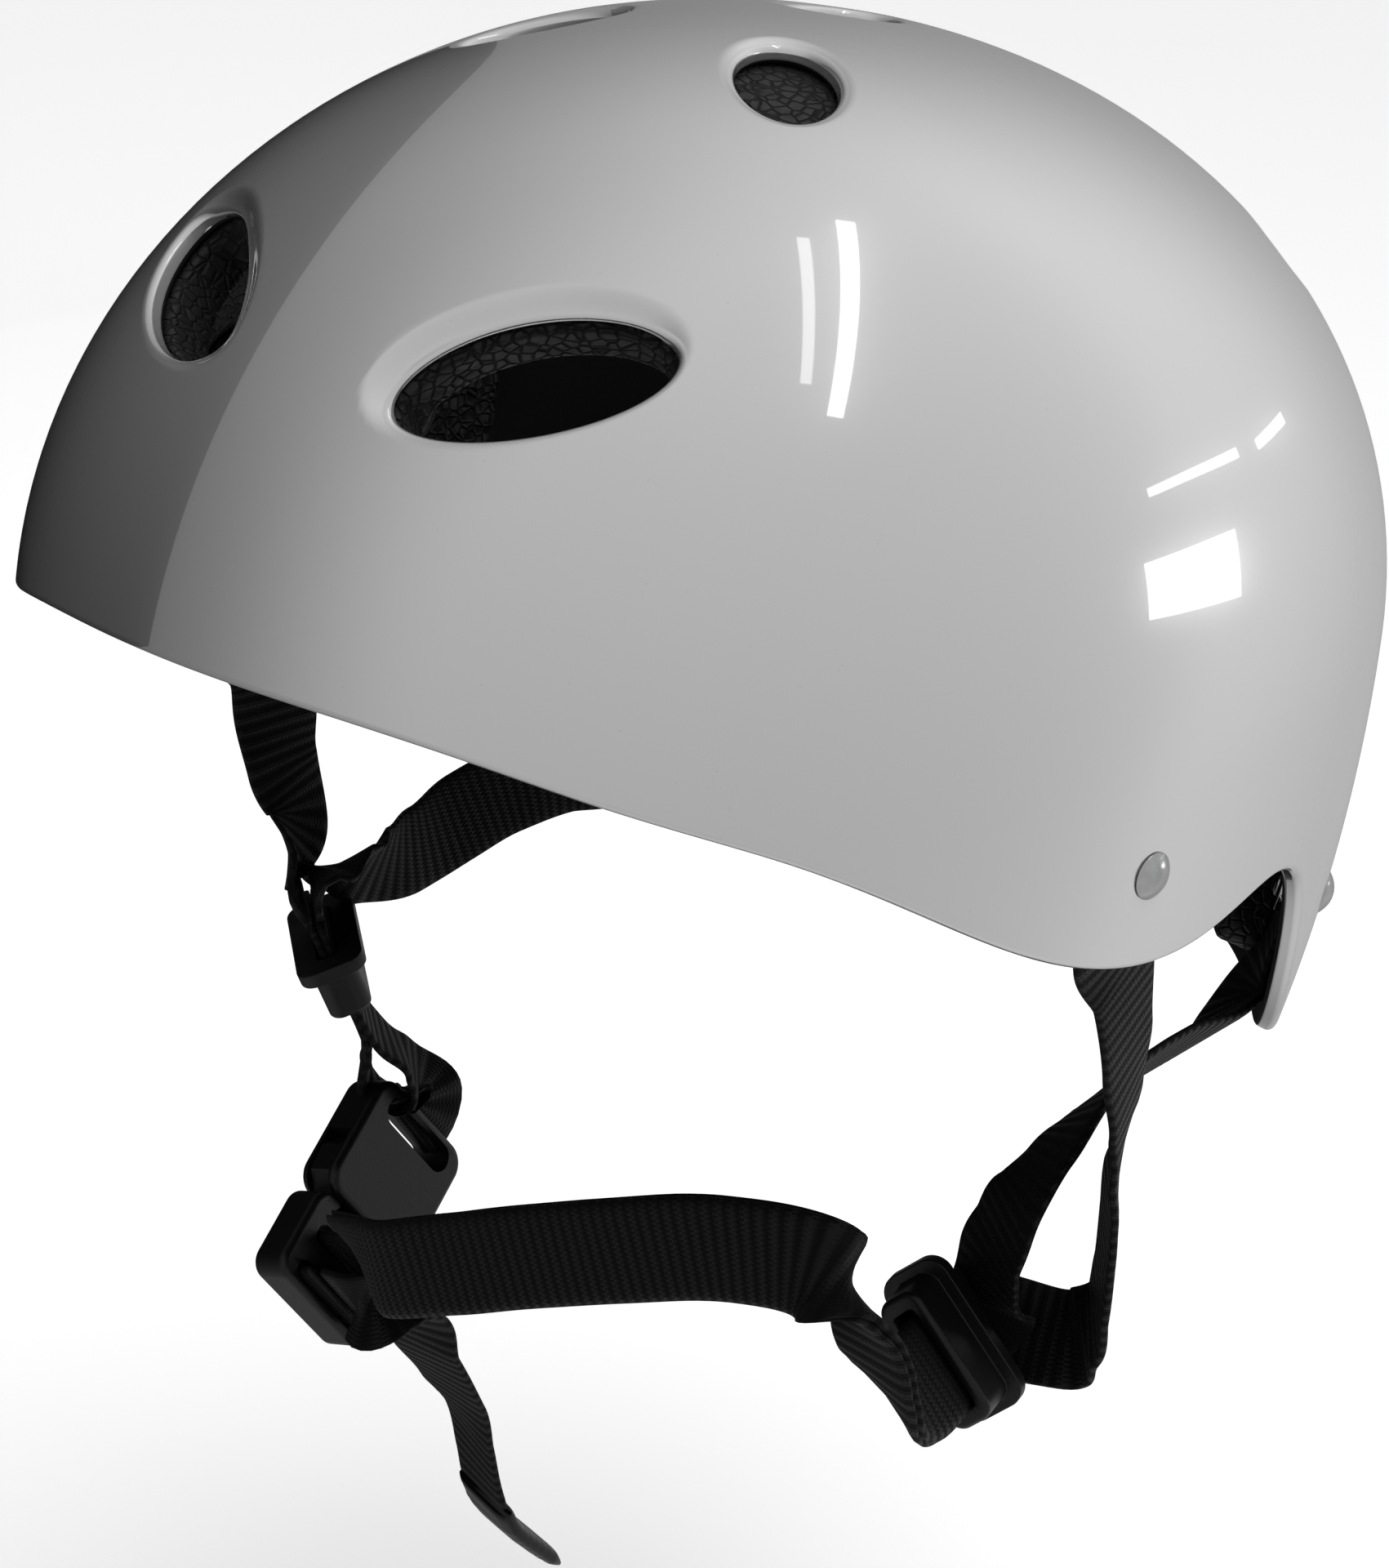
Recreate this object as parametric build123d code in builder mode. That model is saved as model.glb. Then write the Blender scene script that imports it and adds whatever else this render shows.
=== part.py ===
"""Water-sports helmet: hard shell, foam liner, comfort pads, webbing harness and side-release buckle.

Frame: millimetres, +Z up, -Y towards the brow, +X towards the wearer's left ear.
The origin is the centre of the head opening, level with the widest part of the shell.
"""
import math
import os

from build123d import *

os.makedirs("parts", exist_ok=True)

# --- shell ---------------------------------------------------------------------------------
half_width = 112.5      # centre to the widest point of either side
front_reach = 128.0     # centre to the brow
rear_reach = 153.0      # centre to the back of the head
crown_height = 108.0    # centre to the top of the crown
skirt_depth = 200.0     # vertical semi-axis below the widest level: the wall leans in slowly
wall = 4.0              # moulded shell wall
unit = 100.0            # radius of the ball that each quarter of the form is scaled from
beyond = 400.0          # longer than anything it cuts

# --- liner and pads ------------------------------------------------------------------------
liner_skin = 0.3        # glue line between shell and foam
liner_thick = 9.0       # foam liner
panel_gap = 5.0         # slot between two liner panels
crown_panel = (66.0, 78.0)   # half width and half length of the crown panel in plan
pad_thick = 5.0         # comfort pads
pad_skin = 0.3          # hook-and-loop line between liner and pad

# --- webbing -------------------------------------------------------------------------------
web_width = 19.0        # strap width
web_thick = 1.5         # strap thickness

# --- fastenings ----------------------------------------------------------------------------
rivet_head_r = 5.6
rivet_head_h = 2.4
rivet_shank_r = 2.4
washer_r = 6.0
washer_thick = 1.2
running = 0.06          # radial clearance of a shank in its hole


def write(part, node):
    """Label one finished piece and write its STEP file."""
    part.label = node
    export_step(part, f"parts/{node}.step")


def on_shell(azimuth, rise, inset=0.0):
    """Point on the shell, azimuth from the brow towards +X, rise above the widest level."""
    a, h = math.radians(azimuth), math.radians(rise)
    reach = front_reach if math.cos(a) > 0 else rear_reach
    height = crown_height if h > 0 else skirt_depth
    point = Vector(
        half_width * math.cos(h) * math.sin(a),
        -reach * math.cos(h) * math.cos(a),
        height * math.sin(h),
    )
    normal = Vector(point.X / half_width**2, point.Y / reach**2, point.Z / height**2).normalized()
    return point - normal * inset, normal


def tangent_plane(azimuth, rise, turn=0.0, inset=0.0):
    """Plane on the shell: z out of the wall, x level towards +X side, turned about z."""
    point, normal = on_shell(azimuth, rise, inset)
    level = Vector(0, 0, 1).cross(normal).normalized()
    return Plane(point, x_dir=level.rotate(Axis((0, 0, 0), normal), turn), z_dir=normal)


def form(inset):
    """Solid head form, inset from the shell's outer face, as four quarter ellipsoids."""
    quarters = []
    for reach, y_side in ((front_reach, Align.MAX), (rear_reach, Align.MIN)):
        for height, z_side in ((crown_height, Align.MIN), (skirt_depth, Align.MAX)):
            with BuildPart() as quarter:
                Sphere(unit)
                Box(
                    3 * unit, 2 * unit, 2 * unit,
                    align=(Align.CENTER, y_side, z_side),
                    mode=Mode.INTERSECT,
                )
                scale(by=(
                    (half_width - inset) / unit,
                    (reach - inset) / unit,
                    (height - inset) / unit,
                ))
            quarters.append(quarter.part)
    with BuildPart() as whole:
        add(quarters)
    return whole.part


# The rim in side view, brow to nape: (y, z). It dips to a lobe before the ear, arches over the
# ear and drops to the nape.
rim_line = [
    (-150, 17), (-126, 15.4), (-103, 6.4), (-80, -2.7), (-48, -19.3), (-27, -28), (-8, -31.2),
    (7, -30.2), (20, -27.5), (33, -26.5), (44, -31), (54, -45), (66, -66), (80, -79), (110, -83), (170, -80),
]


def below_rim(lift):
    """Everything under the rim, raised by lift, to cut the skirt's edge."""
    with BuildPart() as under:
        with BuildSketch(Plane.YZ):
            with BuildLine():
                edge = Spline([(y, z + lift) for y, z in rim_line])
                Polyline(edge @ 1, (170, -260), (-150, -260), edge @ 0)
            make_face()
        extrude(amount=beyond / 2, both=True)
    return under.part


# Vents: azimuth, rise, turn, half length, half height
front_vents = [(25.3, 37.0, 20.0, 22.8, 10.2), (-25.3, 37.0, -20.0, 22.8, 10.2)]
crown_vents = [(57.0, 73.0, 70.0, 14.5, 9.0), (-57.0, 73.0, -70.0, 14.5, 9.0), (180.0, 79.0, 90.0, 12.5, 9.5)]
rear_vents = [(148.0, 36.0, -14.0, 22.0, 9.5), (-148.0, 36.0, 14.0, 22.0, 9.5)]
# Strap anchors: azimuth and rise of each rivet
front_anchors = [(83.6, -3.9), (-83.6, -3.9)]
rear_anchors = [(127.0, -15.0), (-127.0, -15.0)]


def vent_cutters(vents, grow=0.0):
    """Oval prisms through the wall, one for each vent."""
    with BuildPart() as cutters:
        for azimuth, rise, turn, half_l, half_h in vents:
            with BuildSketch(tangent_plane(azimuth, rise, turn)):
                Ellipse(half_l + grow, half_h + grow)
            extrude(amount=30, both=True)
    return cutters.part


def bores(anchors, radius):
    """Pins through the wall at the strap anchors."""
    with BuildPart() as pins:
        for azimuth, rise in anchors:
            with BuildSketch(tangent_plane(azimuth, rise)):
                Circle(radius)
            extrude(amount=12, both=True)
    return pins.part


outer_form = form(0)
wall_form = form(wall)
liner_outer = form(wall + liner_skin)
liner_inner = form(wall + liner_skin + liner_thick)
pad_outer = form(wall + liner_skin + liner_thick + pad_skin)
pad_inner = form(wall + liner_skin + liner_thick + pad_skin + pad_thick)

with BuildPart() as shell:
    add(outer_form)
    add(wall_form, mode=Mode.SUBTRACT)
    add(below_rim(0), mode=Mode.SUBTRACT)
    add(vent_cutters(front_vents + crown_vents + rear_vents), mode=Mode.SUBTRACT)
    add(bores(front_anchors + rear_anchors, rivet_shank_r + running), mode=Mode.SUBTRACT)
write(shell.part, "shell")


# --- foam liner: five bonded panels --------------------------------------------------------
def sector(from_az, to_az, gap, low=-beyond, high=beyond):
    """Upright wedge between two azimuths, drawn back by half the gap on each side."""
    middle, half = math.radians((from_az + to_az) / 2), math.radians((to_az - from_az) / 2)
    set_back = gap / 2 / math.sin(half)
    tip = Vector(math.sin(middle), -math.cos(middle)) * set_back
    arms = [
        tip + Vector(math.sin(math.radians(az)), -math.cos(math.radians(az))) * beyond
        for az in (from_az, to_az)
    ]
    with BuildPart() as wedge:
        with BuildSketch(Plane.XY.offset(low)):
            with BuildLine():
                Polyline(tip, *arms, close=True)
            make_face()
        extrude(amount=high - low)
    return wedge.part


def crown_column(grow):
    """Upright oval column that the crown panel is cut with."""
    with BuildPart() as column:
        with BuildSketch():
            Ellipse(crown_panel[0] + grow, crown_panel[1] + grow)
        extrude(amount=beyond)
    return column.part


vent_holes = vent_cutters(front_vents + rear_vents)

with BuildPart() as liner:
    add(liner_outer)
    add(liner_inner, mode=Mode.SUBTRACT)
    add(below_rim(7), mode=Mode.SUBTRACT)
    add(vent_holes, mode=Mode.SUBTRACT)

with BuildPart() as liner_crown:
    add(liner.part)
    add(crown_column(0), mode=Mode.INTERSECT)
write(liner_crown.part, "liner_crown")

for node, from_az, to_az, lowest in (
    ("liner_front", -52, 52, -beyond),
    ("liner_left", 52, 117, 0.0),
    ("liner_rear", 145, 215, -beyond),
    ("liner_right", -117, -52, 0.0),
):
    with BuildPart() as panel:
        add(liner.part)
        add(sector(from_az, to_az, panel_gap, lowest), mode=Mode.INTERSECT)
        add(crown_column(panel_gap), mode=Mode.SUBTRACT)
    write(panel.part, node)

# --- comfort pads inside the liner ---------------------------------------------------------
with BuildPart() as pad_layer:
    add(pad_outer)
    add(pad_inner, mode=Mode.SUBTRACT)
    add(below_rim(11), mode=Mode.SUBTRACT)

for node, from_az, to_az, low, high in (
    ("brow_pad", -42, 42, -20, 46),
    ("side_pad_left", 62, 108, 4, 44),
    ("side_pad_right", -108, -62, 4, 44),
    ("nape_pad", 150, 210, -66, -16),
):
    with BuildPart() as pad:
        add(pad_layer.part)
        add(sector(from_az, to_az, panel_gap, low, high), mode=Mode.INTERSECT)
    write(pad.part, node)

with BuildPart() as crown_pad:
    add(pad_layer.part)
    with BuildSketch(Plane.XY.offset(60)):
        Ellipse(34, 44)
    extrude(amount=60, mode=Mode.INTERSECT)
write(crown_pad.part, "crown_pad")


# --- rivets and backing washers ------------------------------------------------------------
strap_tab_gap = 1.2     # the flat tab stands this far inside the curved shell at its rivet
stack = strap_tab_gap + web_thick + 0.1   # from the shell to the washer


def anchor_rivets(anchors):
    """Domed rivets whose shanks pass the shell and the strap tab and are peened on the washer."""
    with BuildPart() as rivets:
        for azimuth, rise in anchors:
            seat = tangent_plane(azimuth, rise)
            with BuildSketch(seat):
                Circle(rivet_head_r)
            extrude(amount=0.5)
            with BuildSketch(seat.offset(0.5)):
                Circle(rivet_head_r)
            extrude(amount=rivet_head_h - 0.5, taper=50)
            with BuildSketch(seat):
                Circle(rivet_shank_r)
            extrude(amount=-(wall + stack + washer_thick + 0.8))
    return rivets.part


def anchor_washers(anchors):
    """Flat washers that hold the strap tabs against the inside of the shell."""
    with BuildPart() as washers:
        for azimuth, rise in anchors:
            seat = tangent_plane(azimuth, rise).offset(-(wall + stack))
            with BuildSketch(seat):
                Circle(washer_r)
                Circle(rivet_shank_r + running, mode=Mode.SUBTRACT)
            extrude(amount=-washer_thick)
    return washers.part


write(anchor_rivets(front_anchors), "rivets_front")
write(anchor_rivets(rear_anchors), "rivets_rear")
write(anchor_washers(front_anchors + rear_anchors), "rivet_washers")


# --- webbing -------------------------------------------------------------------------------
def ribbon(stations, width=web_width, thick=web_thick):
    """Strap through stations (point, width direction), flat across, ruled from one to the next."""
    points = [Vector(*point) for point, _ in stations]
    with BuildPart() as strap:
        for i, (_, across) in enumerate(stations):
            before, after = points[max(i - 1, 0)], points[min(i + 1, len(points) - 1)]
            along = (after - before).normalized()
            side = Vector(*across)
            side = (side - along * side.dot(along)).normalized()
            with BuildSketch(Plane(points[i], x_dir=side, z_dir=along)):
                Rectangle(width, thick)
        loft(ruled=True)
    return strap.part


def tab_station(azimuth, rise):
    """Middle of a strap tab behind its rivet, and the level direction across it."""
    depth = wall + strap_tab_gap + web_thick / 2
    plane = tangent_plane(azimuth, rise, inset=depth)
    return plane


def anchored(node, anchor, stations):
    """Strap that starts flat behind its rivet, with a hole for the shank, and follows stations."""
    azimuth, rise = anchor
    tab = tab_station(azimuth, rise)
    start = tab.origin + tab.y_dir * 8
    flat_end = tab.origin - tab.y_dir * 12
    across = tuple(tab.x_dir)
    run = [(tuple(start), across), (tuple(flat_end), across), *stations]
    with BuildPart() as strap:
        add(ribbon(run))
        with BuildSketch(tab):
            Circle(rivet_shank_r + running)
        extrude(amount=4, both=True, mode=Mode.SUBTRACT)
    write(strap.part, node)


# Left side: both straps run down to the left divider and on as the chin strap.
left_divider = Vector(76, -6, -119)
left_across = Vector(0.655, 0.164, -0.743)     # across the webbing in the divider
left_along = Vector(0.300, -0.953, 0.054)      # towards the chin
left_face = left_across.cross(left_along)


def left_point(along, face=0.0):
    """Point on the left divider's axes."""
    return tuple(left_divider + left_along * along + left_face * face)


anchored("strap_front_left", front_anchors[0], [
    ((102.5, -5, -36), (0.1, 1, 0)),
    ((99.5, 4.5, -56), (0.2, 1, 0.1)),
    ((97, 11, -72), (0.5, 0.8, 0.1)),
    ((97.5, 15, -87), (0.85, 0.4, 0.1)),
    ((93, 19, -102), (1, -0.1, 0.1)),
    ((90, 22, -114), (1, 0, -0.2)),
    ((86.5, 20, -122), (0.9, 0.1, -0.4)),
    (left_point(-18, 2.4), tuple(left_across)),
    (left_point(-14.2, 1.3), tuple(left_across)),
])
anchored("strap_rear_left", rear_anchors[0], [
    ((75.5, 86, -74), (-0.4, 0.8, 0.3)),
    ((79, 74, -80), (-0.2, 0.6, 0.7)),
    ((82, 60, -81), (-0.1, 0.3, 0.9)),
    ((83, 43, -79), (0, 0.1, 1)),
    ((83, 27, -80), (0.2, 0.2, 1)),
    ((80.5, 17, -87), (0.5, 0.3, 0.8)),
    ((77.8, 11.6, -96), (0.8, 0.3, 0.3)),
    ((78.2, 10.5, -105), (0.9, 0.2, -0.2)),
    ((78.6, 10.6, -112), (0.8, 0.2, -0.5)),
    (left_point(-17, -2.6), tuple(left_across)),
    (left_point(-14.2, -1.4), tuple(left_across)),
])

# Right side: both straps run down to the right divider and on to the buckle socket.
right_divider = Vector(-84, -2, -97)
right_along = Vector(0.210, 0.370, -0.905).normalized()
right_across = Vector(0.769, -0.634, -0.080)
right_across = (right_across - right_along * right_across.dot(right_along)).normalized()
right_face = right_across.cross(right_along)


def right_point(along, face=0.0):
    """Point on the right divider's axes."""
    return tuple(right_divider + right_along * along + right_face * face)


anchored("strap_front_right", front_anchors[1], [
    ((-102.5, -6, -38), (0, 1, 0)),
    ((-99.5, -5.5, -52), (0.1, 1, 0)),
    ((-95, -3, -67), (0.4, 1, 0)),
    (right_point(-19.0, -1.8), tuple(right_across)),
    (right_point(-14.5, -1.1), tuple(right_across)),
])
anchored("strap_rear_right", rear_anchors[1], [
    ((-75.5, 86, -74), (0.4, 0.8, 0.3)),
    ((-79.5, 74, -79.5), (0.2, 0.6, 0.7)),
    ((-87, 60, -79), (0.1, 0.3, 0.9)),
    ((-90, 42, -80), (0, 0.1, 1)),
    ((-89, 25, -81), (0.2, -0.1, 0.9)),
    ((-87, 13, -79.5), (0.4, -0.3, 0.8)),
    ((-86, 3, -77.5), (0.6, -0.4, 0.6)),
    (right_point(-19, 3.5), tuple(right_across)),
    (right_point(-14.5, 1.6), tuple(right_across)),
])

# --- side-release buckle: axes --------------------------------------------------------------
buckle_centre = Vector(-70, -6, -147)
buckle_up = Vector(-0.202, 0.806, 0.556).normalized()      # from the plug towards the socket
buckle_across = Vector(-0.234, -0.591, 0.772)
buckle_across = (buckle_across - buckle_up * buckle_across.dot(buckle_up)).normalized()
buckle_face = buckle_up.cross(buckle_across)
buckle = Plane(buckle_centre, x_dir=buckle_up, z_dir=buckle_face)


def buckle_point(up, across=0.0, face=0.0):
    """Point on the buckle's axes."""
    return tuple(buckle_centre + buckle_up * up + buckle_across * across + buckle_face * face)


for node, side, bulge in (("buckle_strap_outer", 1, 2.5), ("buckle_strap_inner", -1, 4.5)):
    bow = right_face * side
    end = Vector(*buckle_point(21.5, 0, 1.0 * side))
    near_end = Vector(*buckle_point(27.0, 0, 1.8 * side))
    middle = (Vector(*right_point(17)) + near_end) * 0.5 + bow * bulge
    write(ribbon([
        (right_point(-12, 0.85 * side), tuple(right_across)),
        (right_point(17, 0.85 * side), tuple(right_across)),
        (tuple(middle), tuple(right_across * 0.6 + buckle_across * 0.4)),
        (tuple(near_end), tuple(buckle_across)),
        (tuple(end), tuple(buckle_across)),
    ]), node)

# Chin strap: doubled webbing from the left divider, under the chin, to just short of the plug.
write(ribbon([
    (left_point(-14), tuple(left_across)),
    (left_point(22), tuple(left_across)),
    ((82.5, -35, -110), (0.85, 0.1, -0.5)),
    ((80.5, -40, -98), (0.8, 0, -0.5)),
    ((75, -44, -90.5), (0.6, 0, -0.8)),
    ((57, -47, -92), (0.15, 0, -1)),
    ((22, -49, -106), (0.12, 0, -1)),
    ((-5, -49, -118.6), (0.15, 0, -1)),
    ((-25, -46.5, -128.5), (0.2, 0.1, -1)),
    (buckle_point(-15, 9, 17), tuple(-buckle_across)),
], thick=2 * web_thick + 0.2), "chin_strap")


# --- strap dividers --------------------------------------------------------------------------
divider_body = (27.0, 13.0, 9.0)     # across, along, through
divider_flange = (31.0, 3.0, 14.0)
divider_window = (20.6, 4.6)


def divider(centre, across, along):
    """Keeper sleeve round two layers of webbing, with a flange at the end away from the chin."""
    seat = Plane(centre, x_dir=across, z_dir=along)
    with BuildPart() as keeper:
        with BuildSketch(seat.offset(-divider_body[1] / 2)):
            RectangleRounded(divider_body[0], divider_body[2], 3)
        extrude(amount=divider_body[1])
        with BuildSketch(seat.offset(-divider_body[1] / 2)):
            RectangleRounded(divider_flange[0], divider_flange[2], 4)
        extrude(amount=divider_flange[1])
        fillet(keeper.edges().group_by(Axis(centre, along))[-1], 1.2)
        with BuildSketch(seat.offset(-divider_body[1])):
            RectangleRounded(*divider_window, 1)
        extrude(amount=2 * divider_body[1], mode=Mode.SUBTRACT)
    return keeper.part


write(divider(left_divider, left_across, left_along), "divider_left")
write(divider(right_divider, right_across, right_along), "divider_right")

# --- side-release buckle: pieces -------------------------------------------------------------
buckle_width = 30.0
buckle_thick = 10.0
plate_thick = 1.9
cavity_half = buckle_thick / 2 - plate_thick      # half height of the socket's cavity
socket_mouth, socket_back, socket_end = -4.0, 12.0, 24.0
side_open = 9.5           # the socket's sides are open from its mouth to here
plug_end, plug_shoulder = -25.0, -4.5
strap_slot = (20.4, 3.4)
prong_root = 9.0          # prong's pivot from the centre line
prong_root_r = 1.9        # round root that each prong flexes about
prong_thick = 5.4

with BuildPart() as buckle_socket:
    with BuildSketch(buckle.offset(-buckle_thick / 2)):
        with Locations(((socket_mouth + socket_end) / 2, 0)):
            RectangleRounded(socket_end - socket_mouth, buckle_width, 5)
    extrude(amount=buckle_thick)
    fillet(buckle_socket.edges().group_by(Axis(buckle_centre, buckle_face))[-1], 1.5)
    fillet(buckle_socket.edges().group_by(Axis(buckle_centre, buckle_face))[0], 1.5)
    with BuildSketch(buckle.offset(-cavity_half)):
        with Locations(((socket_mouth + socket_back) / 2 - 5, 0)):
            Rectangle(socket_back - socket_mouth + 10, buckle_width - 5)
        with Locations(((socket_mouth + side_open) / 2 - 2, 0)):
            Rectangle(side_open - socket_mouth + 4, buckle_width + 10)
    extrude(amount=2 * cavity_half, mode=Mode.SUBTRACT)
    with BuildSketch(buckle.offset(-buckle_thick)):
        with Locations((19.0, 0)):
            SlotOverall(strap_slot[0] + 1, 6.2, rotation=90)
    extrude(amount=2 * buckle_thick, mode=Mode.SUBTRACT)
write(buckle_socket.part, "buckle_socket")

with BuildPart() as buckle_plug:
    with BuildSketch(buckle.offset(-buckle_thick / 2 + 0.5)):
        with Locations(((plug_end + plug_shoulder) / 2, 0)):
            RectangleRounded(plug_shoulder - plug_end, buckle_width, 4)
    extrude(amount=buckle_thick - 1)
    fillet(buckle_plug.edges().group_by(Axis(buckle_centre, buckle_face))[-1], 1.5)
    fillet(buckle_plug.edges().group_by(Axis(buckle_centre, buckle_face))[0], 1.5)
    with BuildSketch(buckle.offset(-2.4)):
        with Locations((3.0, 0)):
            Rectangle(17, 5)
    extrude(amount=4.8)
    for slot_at in (-21.0, -12.5):
        with BuildSketch(buckle.offset(-buckle_thick)):
            with Locations((slot_at, 0)):
                SlotOverall(strap_slot[0] + 1, 4.4, rotation=90)
        extrude(amount=2 * buckle_thick, mode=Mode.SUBTRACT)
    for side in (1, -1):
        with BuildSketch(buckle.offset(-buckle_thick)):
            with Locations((plug_shoulder, side * prong_root)):
                Rectangle(4.4, 6.4)
        extrude(amount=2 * buckle_thick, mode=Mode.SUBTRACT)
write(buckle_plug.part, "buckle_plug")

# Half outline of a prong from its root to its tip and back: (up, across)
prong_outline = [
    (-4.5, 7.2), (-4.5, 10.8), (-2.9, 11.2), (-0.5, 14.4), (5.5, 14.8), (8.0, 12.4), (11.0, 10.6),
    (11.0, 8.2), (2.0, 8.8), (-2.9, 7.0),
]

for node, side in (("prong_upper", 1), ("prong_lower", -1)):
    with BuildPart() as prong:
        with BuildSketch(buckle.offset(-prong_thick / 2)):
            with BuildLine():
                Polyline(*[(up, side * across) for up, across in prong_outline], close=True)
            make_face()
            with Locations((plug_shoulder, side * prong_root)):
                Circle(prong_root_r)
        extrude(amount=prong_thick)
    write(prong.part, node)

# Webbing that rides with the plug: the turn round its bars, and the loose tail with its tip.
write(ribbon([
    (buckle_point(-12.5, 0, 13.0), tuple(buckle_across)),
    (buckle_point(-12.5, 0, 6.0), tuple(buckle_across)),
    (buckle_point(-12.5, 0, -4.5), tuple(buckle_across)),
    (buckle_point(-14.5, 0, -7.2), tuple(buckle_across)),
    (buckle_point(-19.0, 0, -7.2), tuple(buckle_across)),
    (buckle_point(-21.0, 0, -4.5), tuple(buckle_across)),
    (buckle_point(-21.0, 0, 6.6), tuple(buckle_across)),
]), "strap_wrap")

write(ribbon([
    (buckle_point(-21.2, 0, 9.4), tuple(buckle_across)),
    (buckle_point(-21.6, -0.5, 13.0), tuple(buckle_across)),
    ((-50.5, -11, -161), (0.75, 0.6, 0.1)),
    ((-51.5, -6, -170), (0.75, 0.6, 0.1)),
    ((-54.5, 2, -182), (0.8, 0.4, 0.1)),
    ((-54, 10, -195), (0.85, 0, 0.1)),
    ((-53, 18, -209), (0.8, -0.4, 0.1)),
    ((-52.2, 23, -217.6), (0.75, -0.6, 0.1)),
]), "strap_tail")
write(ribbon([
    ((-52, 23.7, -218.7), (0.75, -0.6, 0.1)),
    ((-51, 29, -223), (0.75, -0.6, 0.1)),
    ((-49, 39, -232), (0.75, -0.6, 0.1)),
], width=web_width + 1, thick=4.0), "tail_tip")
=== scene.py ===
"""Looks of a water-sports helmet: glossy shell, foam liner, comfort pads, webbing harness and buckle.

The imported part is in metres, +Z up, -Y towards the brow, +X towards the wearer's left ear.
Shapes are worked out in millimetres and scaled when a mesh is made.
"""

import math
from functools import partial

import bmesh
import bpy
import numpy as np
from mathutils import Matrix, Vector, geometry, noise


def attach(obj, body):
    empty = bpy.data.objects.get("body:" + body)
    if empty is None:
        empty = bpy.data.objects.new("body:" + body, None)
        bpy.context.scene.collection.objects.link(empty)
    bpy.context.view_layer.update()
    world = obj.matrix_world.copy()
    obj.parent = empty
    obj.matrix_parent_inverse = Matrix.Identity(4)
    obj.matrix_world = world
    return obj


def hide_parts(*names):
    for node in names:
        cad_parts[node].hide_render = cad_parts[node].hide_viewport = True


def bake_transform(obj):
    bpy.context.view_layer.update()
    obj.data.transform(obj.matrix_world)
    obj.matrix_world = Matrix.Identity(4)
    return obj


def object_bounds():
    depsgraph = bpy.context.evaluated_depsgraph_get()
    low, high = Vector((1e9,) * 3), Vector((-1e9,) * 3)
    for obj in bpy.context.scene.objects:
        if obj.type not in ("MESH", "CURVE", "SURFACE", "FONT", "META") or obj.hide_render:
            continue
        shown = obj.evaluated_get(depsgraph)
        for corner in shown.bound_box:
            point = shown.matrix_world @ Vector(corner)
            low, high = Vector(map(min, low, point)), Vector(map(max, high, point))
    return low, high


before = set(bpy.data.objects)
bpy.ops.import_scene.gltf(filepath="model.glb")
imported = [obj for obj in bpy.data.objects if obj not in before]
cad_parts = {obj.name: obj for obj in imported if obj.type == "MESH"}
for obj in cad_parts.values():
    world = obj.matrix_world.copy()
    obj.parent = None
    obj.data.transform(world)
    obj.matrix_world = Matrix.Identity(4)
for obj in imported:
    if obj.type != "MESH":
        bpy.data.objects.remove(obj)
cad_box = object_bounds()

MM = 0.001

# --- driving sizes of the helmet, millimetres -------------------------------------------------
HALF_WIDTH = 112.5
FRONT_REACH = 128.0
REAR_REACH = 153.0
CROWN_HEIGHT = 108.0
SKIRT_DEPTH = 200.0
WALL = 4.0
LINER_OUT = WALL + 0.3
LINER_IN = LINER_OUT + 9.0
PAD_OUT = LINER_IN + 0.3
PAD_IN = PAD_OUT + 5.0
PLAN_SCALE = 170.0            # one unit of the unrolled plan, crown to widest level

RIM_LINE = [
    (-150, 17), (-126, 15.4), (-103, 6.4), (-80, -2.7), (-48, -19.3), (-27, -28), (-8, -31.2),
    (7, -30.2), (20, -27.5), (33, -26.5), (44, -31), (54, -45), (66, -66), (80, -79), (110, -83),
    (170, -80),
]
# Vents: azimuth, rise and turn in degrees, half length, half height
FRONT_VENTS = [(25.3, 37.8, 20.0, 22.8, 10.2), (-25.3, 37.8, -20.0, 22.8, 10.2)]
CROWN_VENTS = [
    (57.0, 73.0, 70.0, 14.5, 9.0), (-57.0, 73.0, -70.0, 14.5, 9.0), (180.0, 79.0, 90.0, 12.5, 9.5),
]
REAR_VENTS = [(148.0, 36.0, -14.0, 22.0, 9.5), (-148.0, 36.0, 14.0, 22.0, 9.5)]
# Strap rivets: azimuth, rise
FRONT_ANCHORS = [(83.6, -3.9), (-83.6, -3.9)]
REAR_ANCHORS = [(127.0, -15.0), (-127.0, -15.0)]


# --- the head form ----------------------------------------------------------------------------
def form_point(azimuth, rise, inset=0.0):
    """Points on the form for arrays of azimuth and rise in radians, drawn in by inset."""
    azimuth, rise = np.asarray(azimuth, float), np.asarray(rise, float)
    reach = np.where(np.cos(azimuth) > 0, FRONT_REACH, REAR_REACH) - inset
    height = np.where(rise > 0, CROWN_HEIGHT, SKIRT_DEPTH) - inset
    width = HALF_WIDTH - inset
    return np.stack([
        width * np.cos(rise) * np.sin(azimuth),
        -reach * np.cos(rise) * np.cos(azimuth),
        height * np.sin(rise),
    ], axis=-1)


def half_axes(points):
    """Half sizes of the form on the side of its middle where each point is."""
    reach = np.where(points[..., 1] < 0, FRONT_REACH, REAR_REACH)
    height = np.where(points[..., 2] > 0, CROWN_HEIGHT, SKIRT_DEPTH)
    return np.stack([np.full_like(reach, HALF_WIDTH), reach, height], axis=-1)


def form_normal(points):
    """Outward normals of the form at points on or near it."""
    slope = points / half_axes(points) ** 2
    return slope / np.linalg.norm(slope, axis=-1, keepdims=True)


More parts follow.
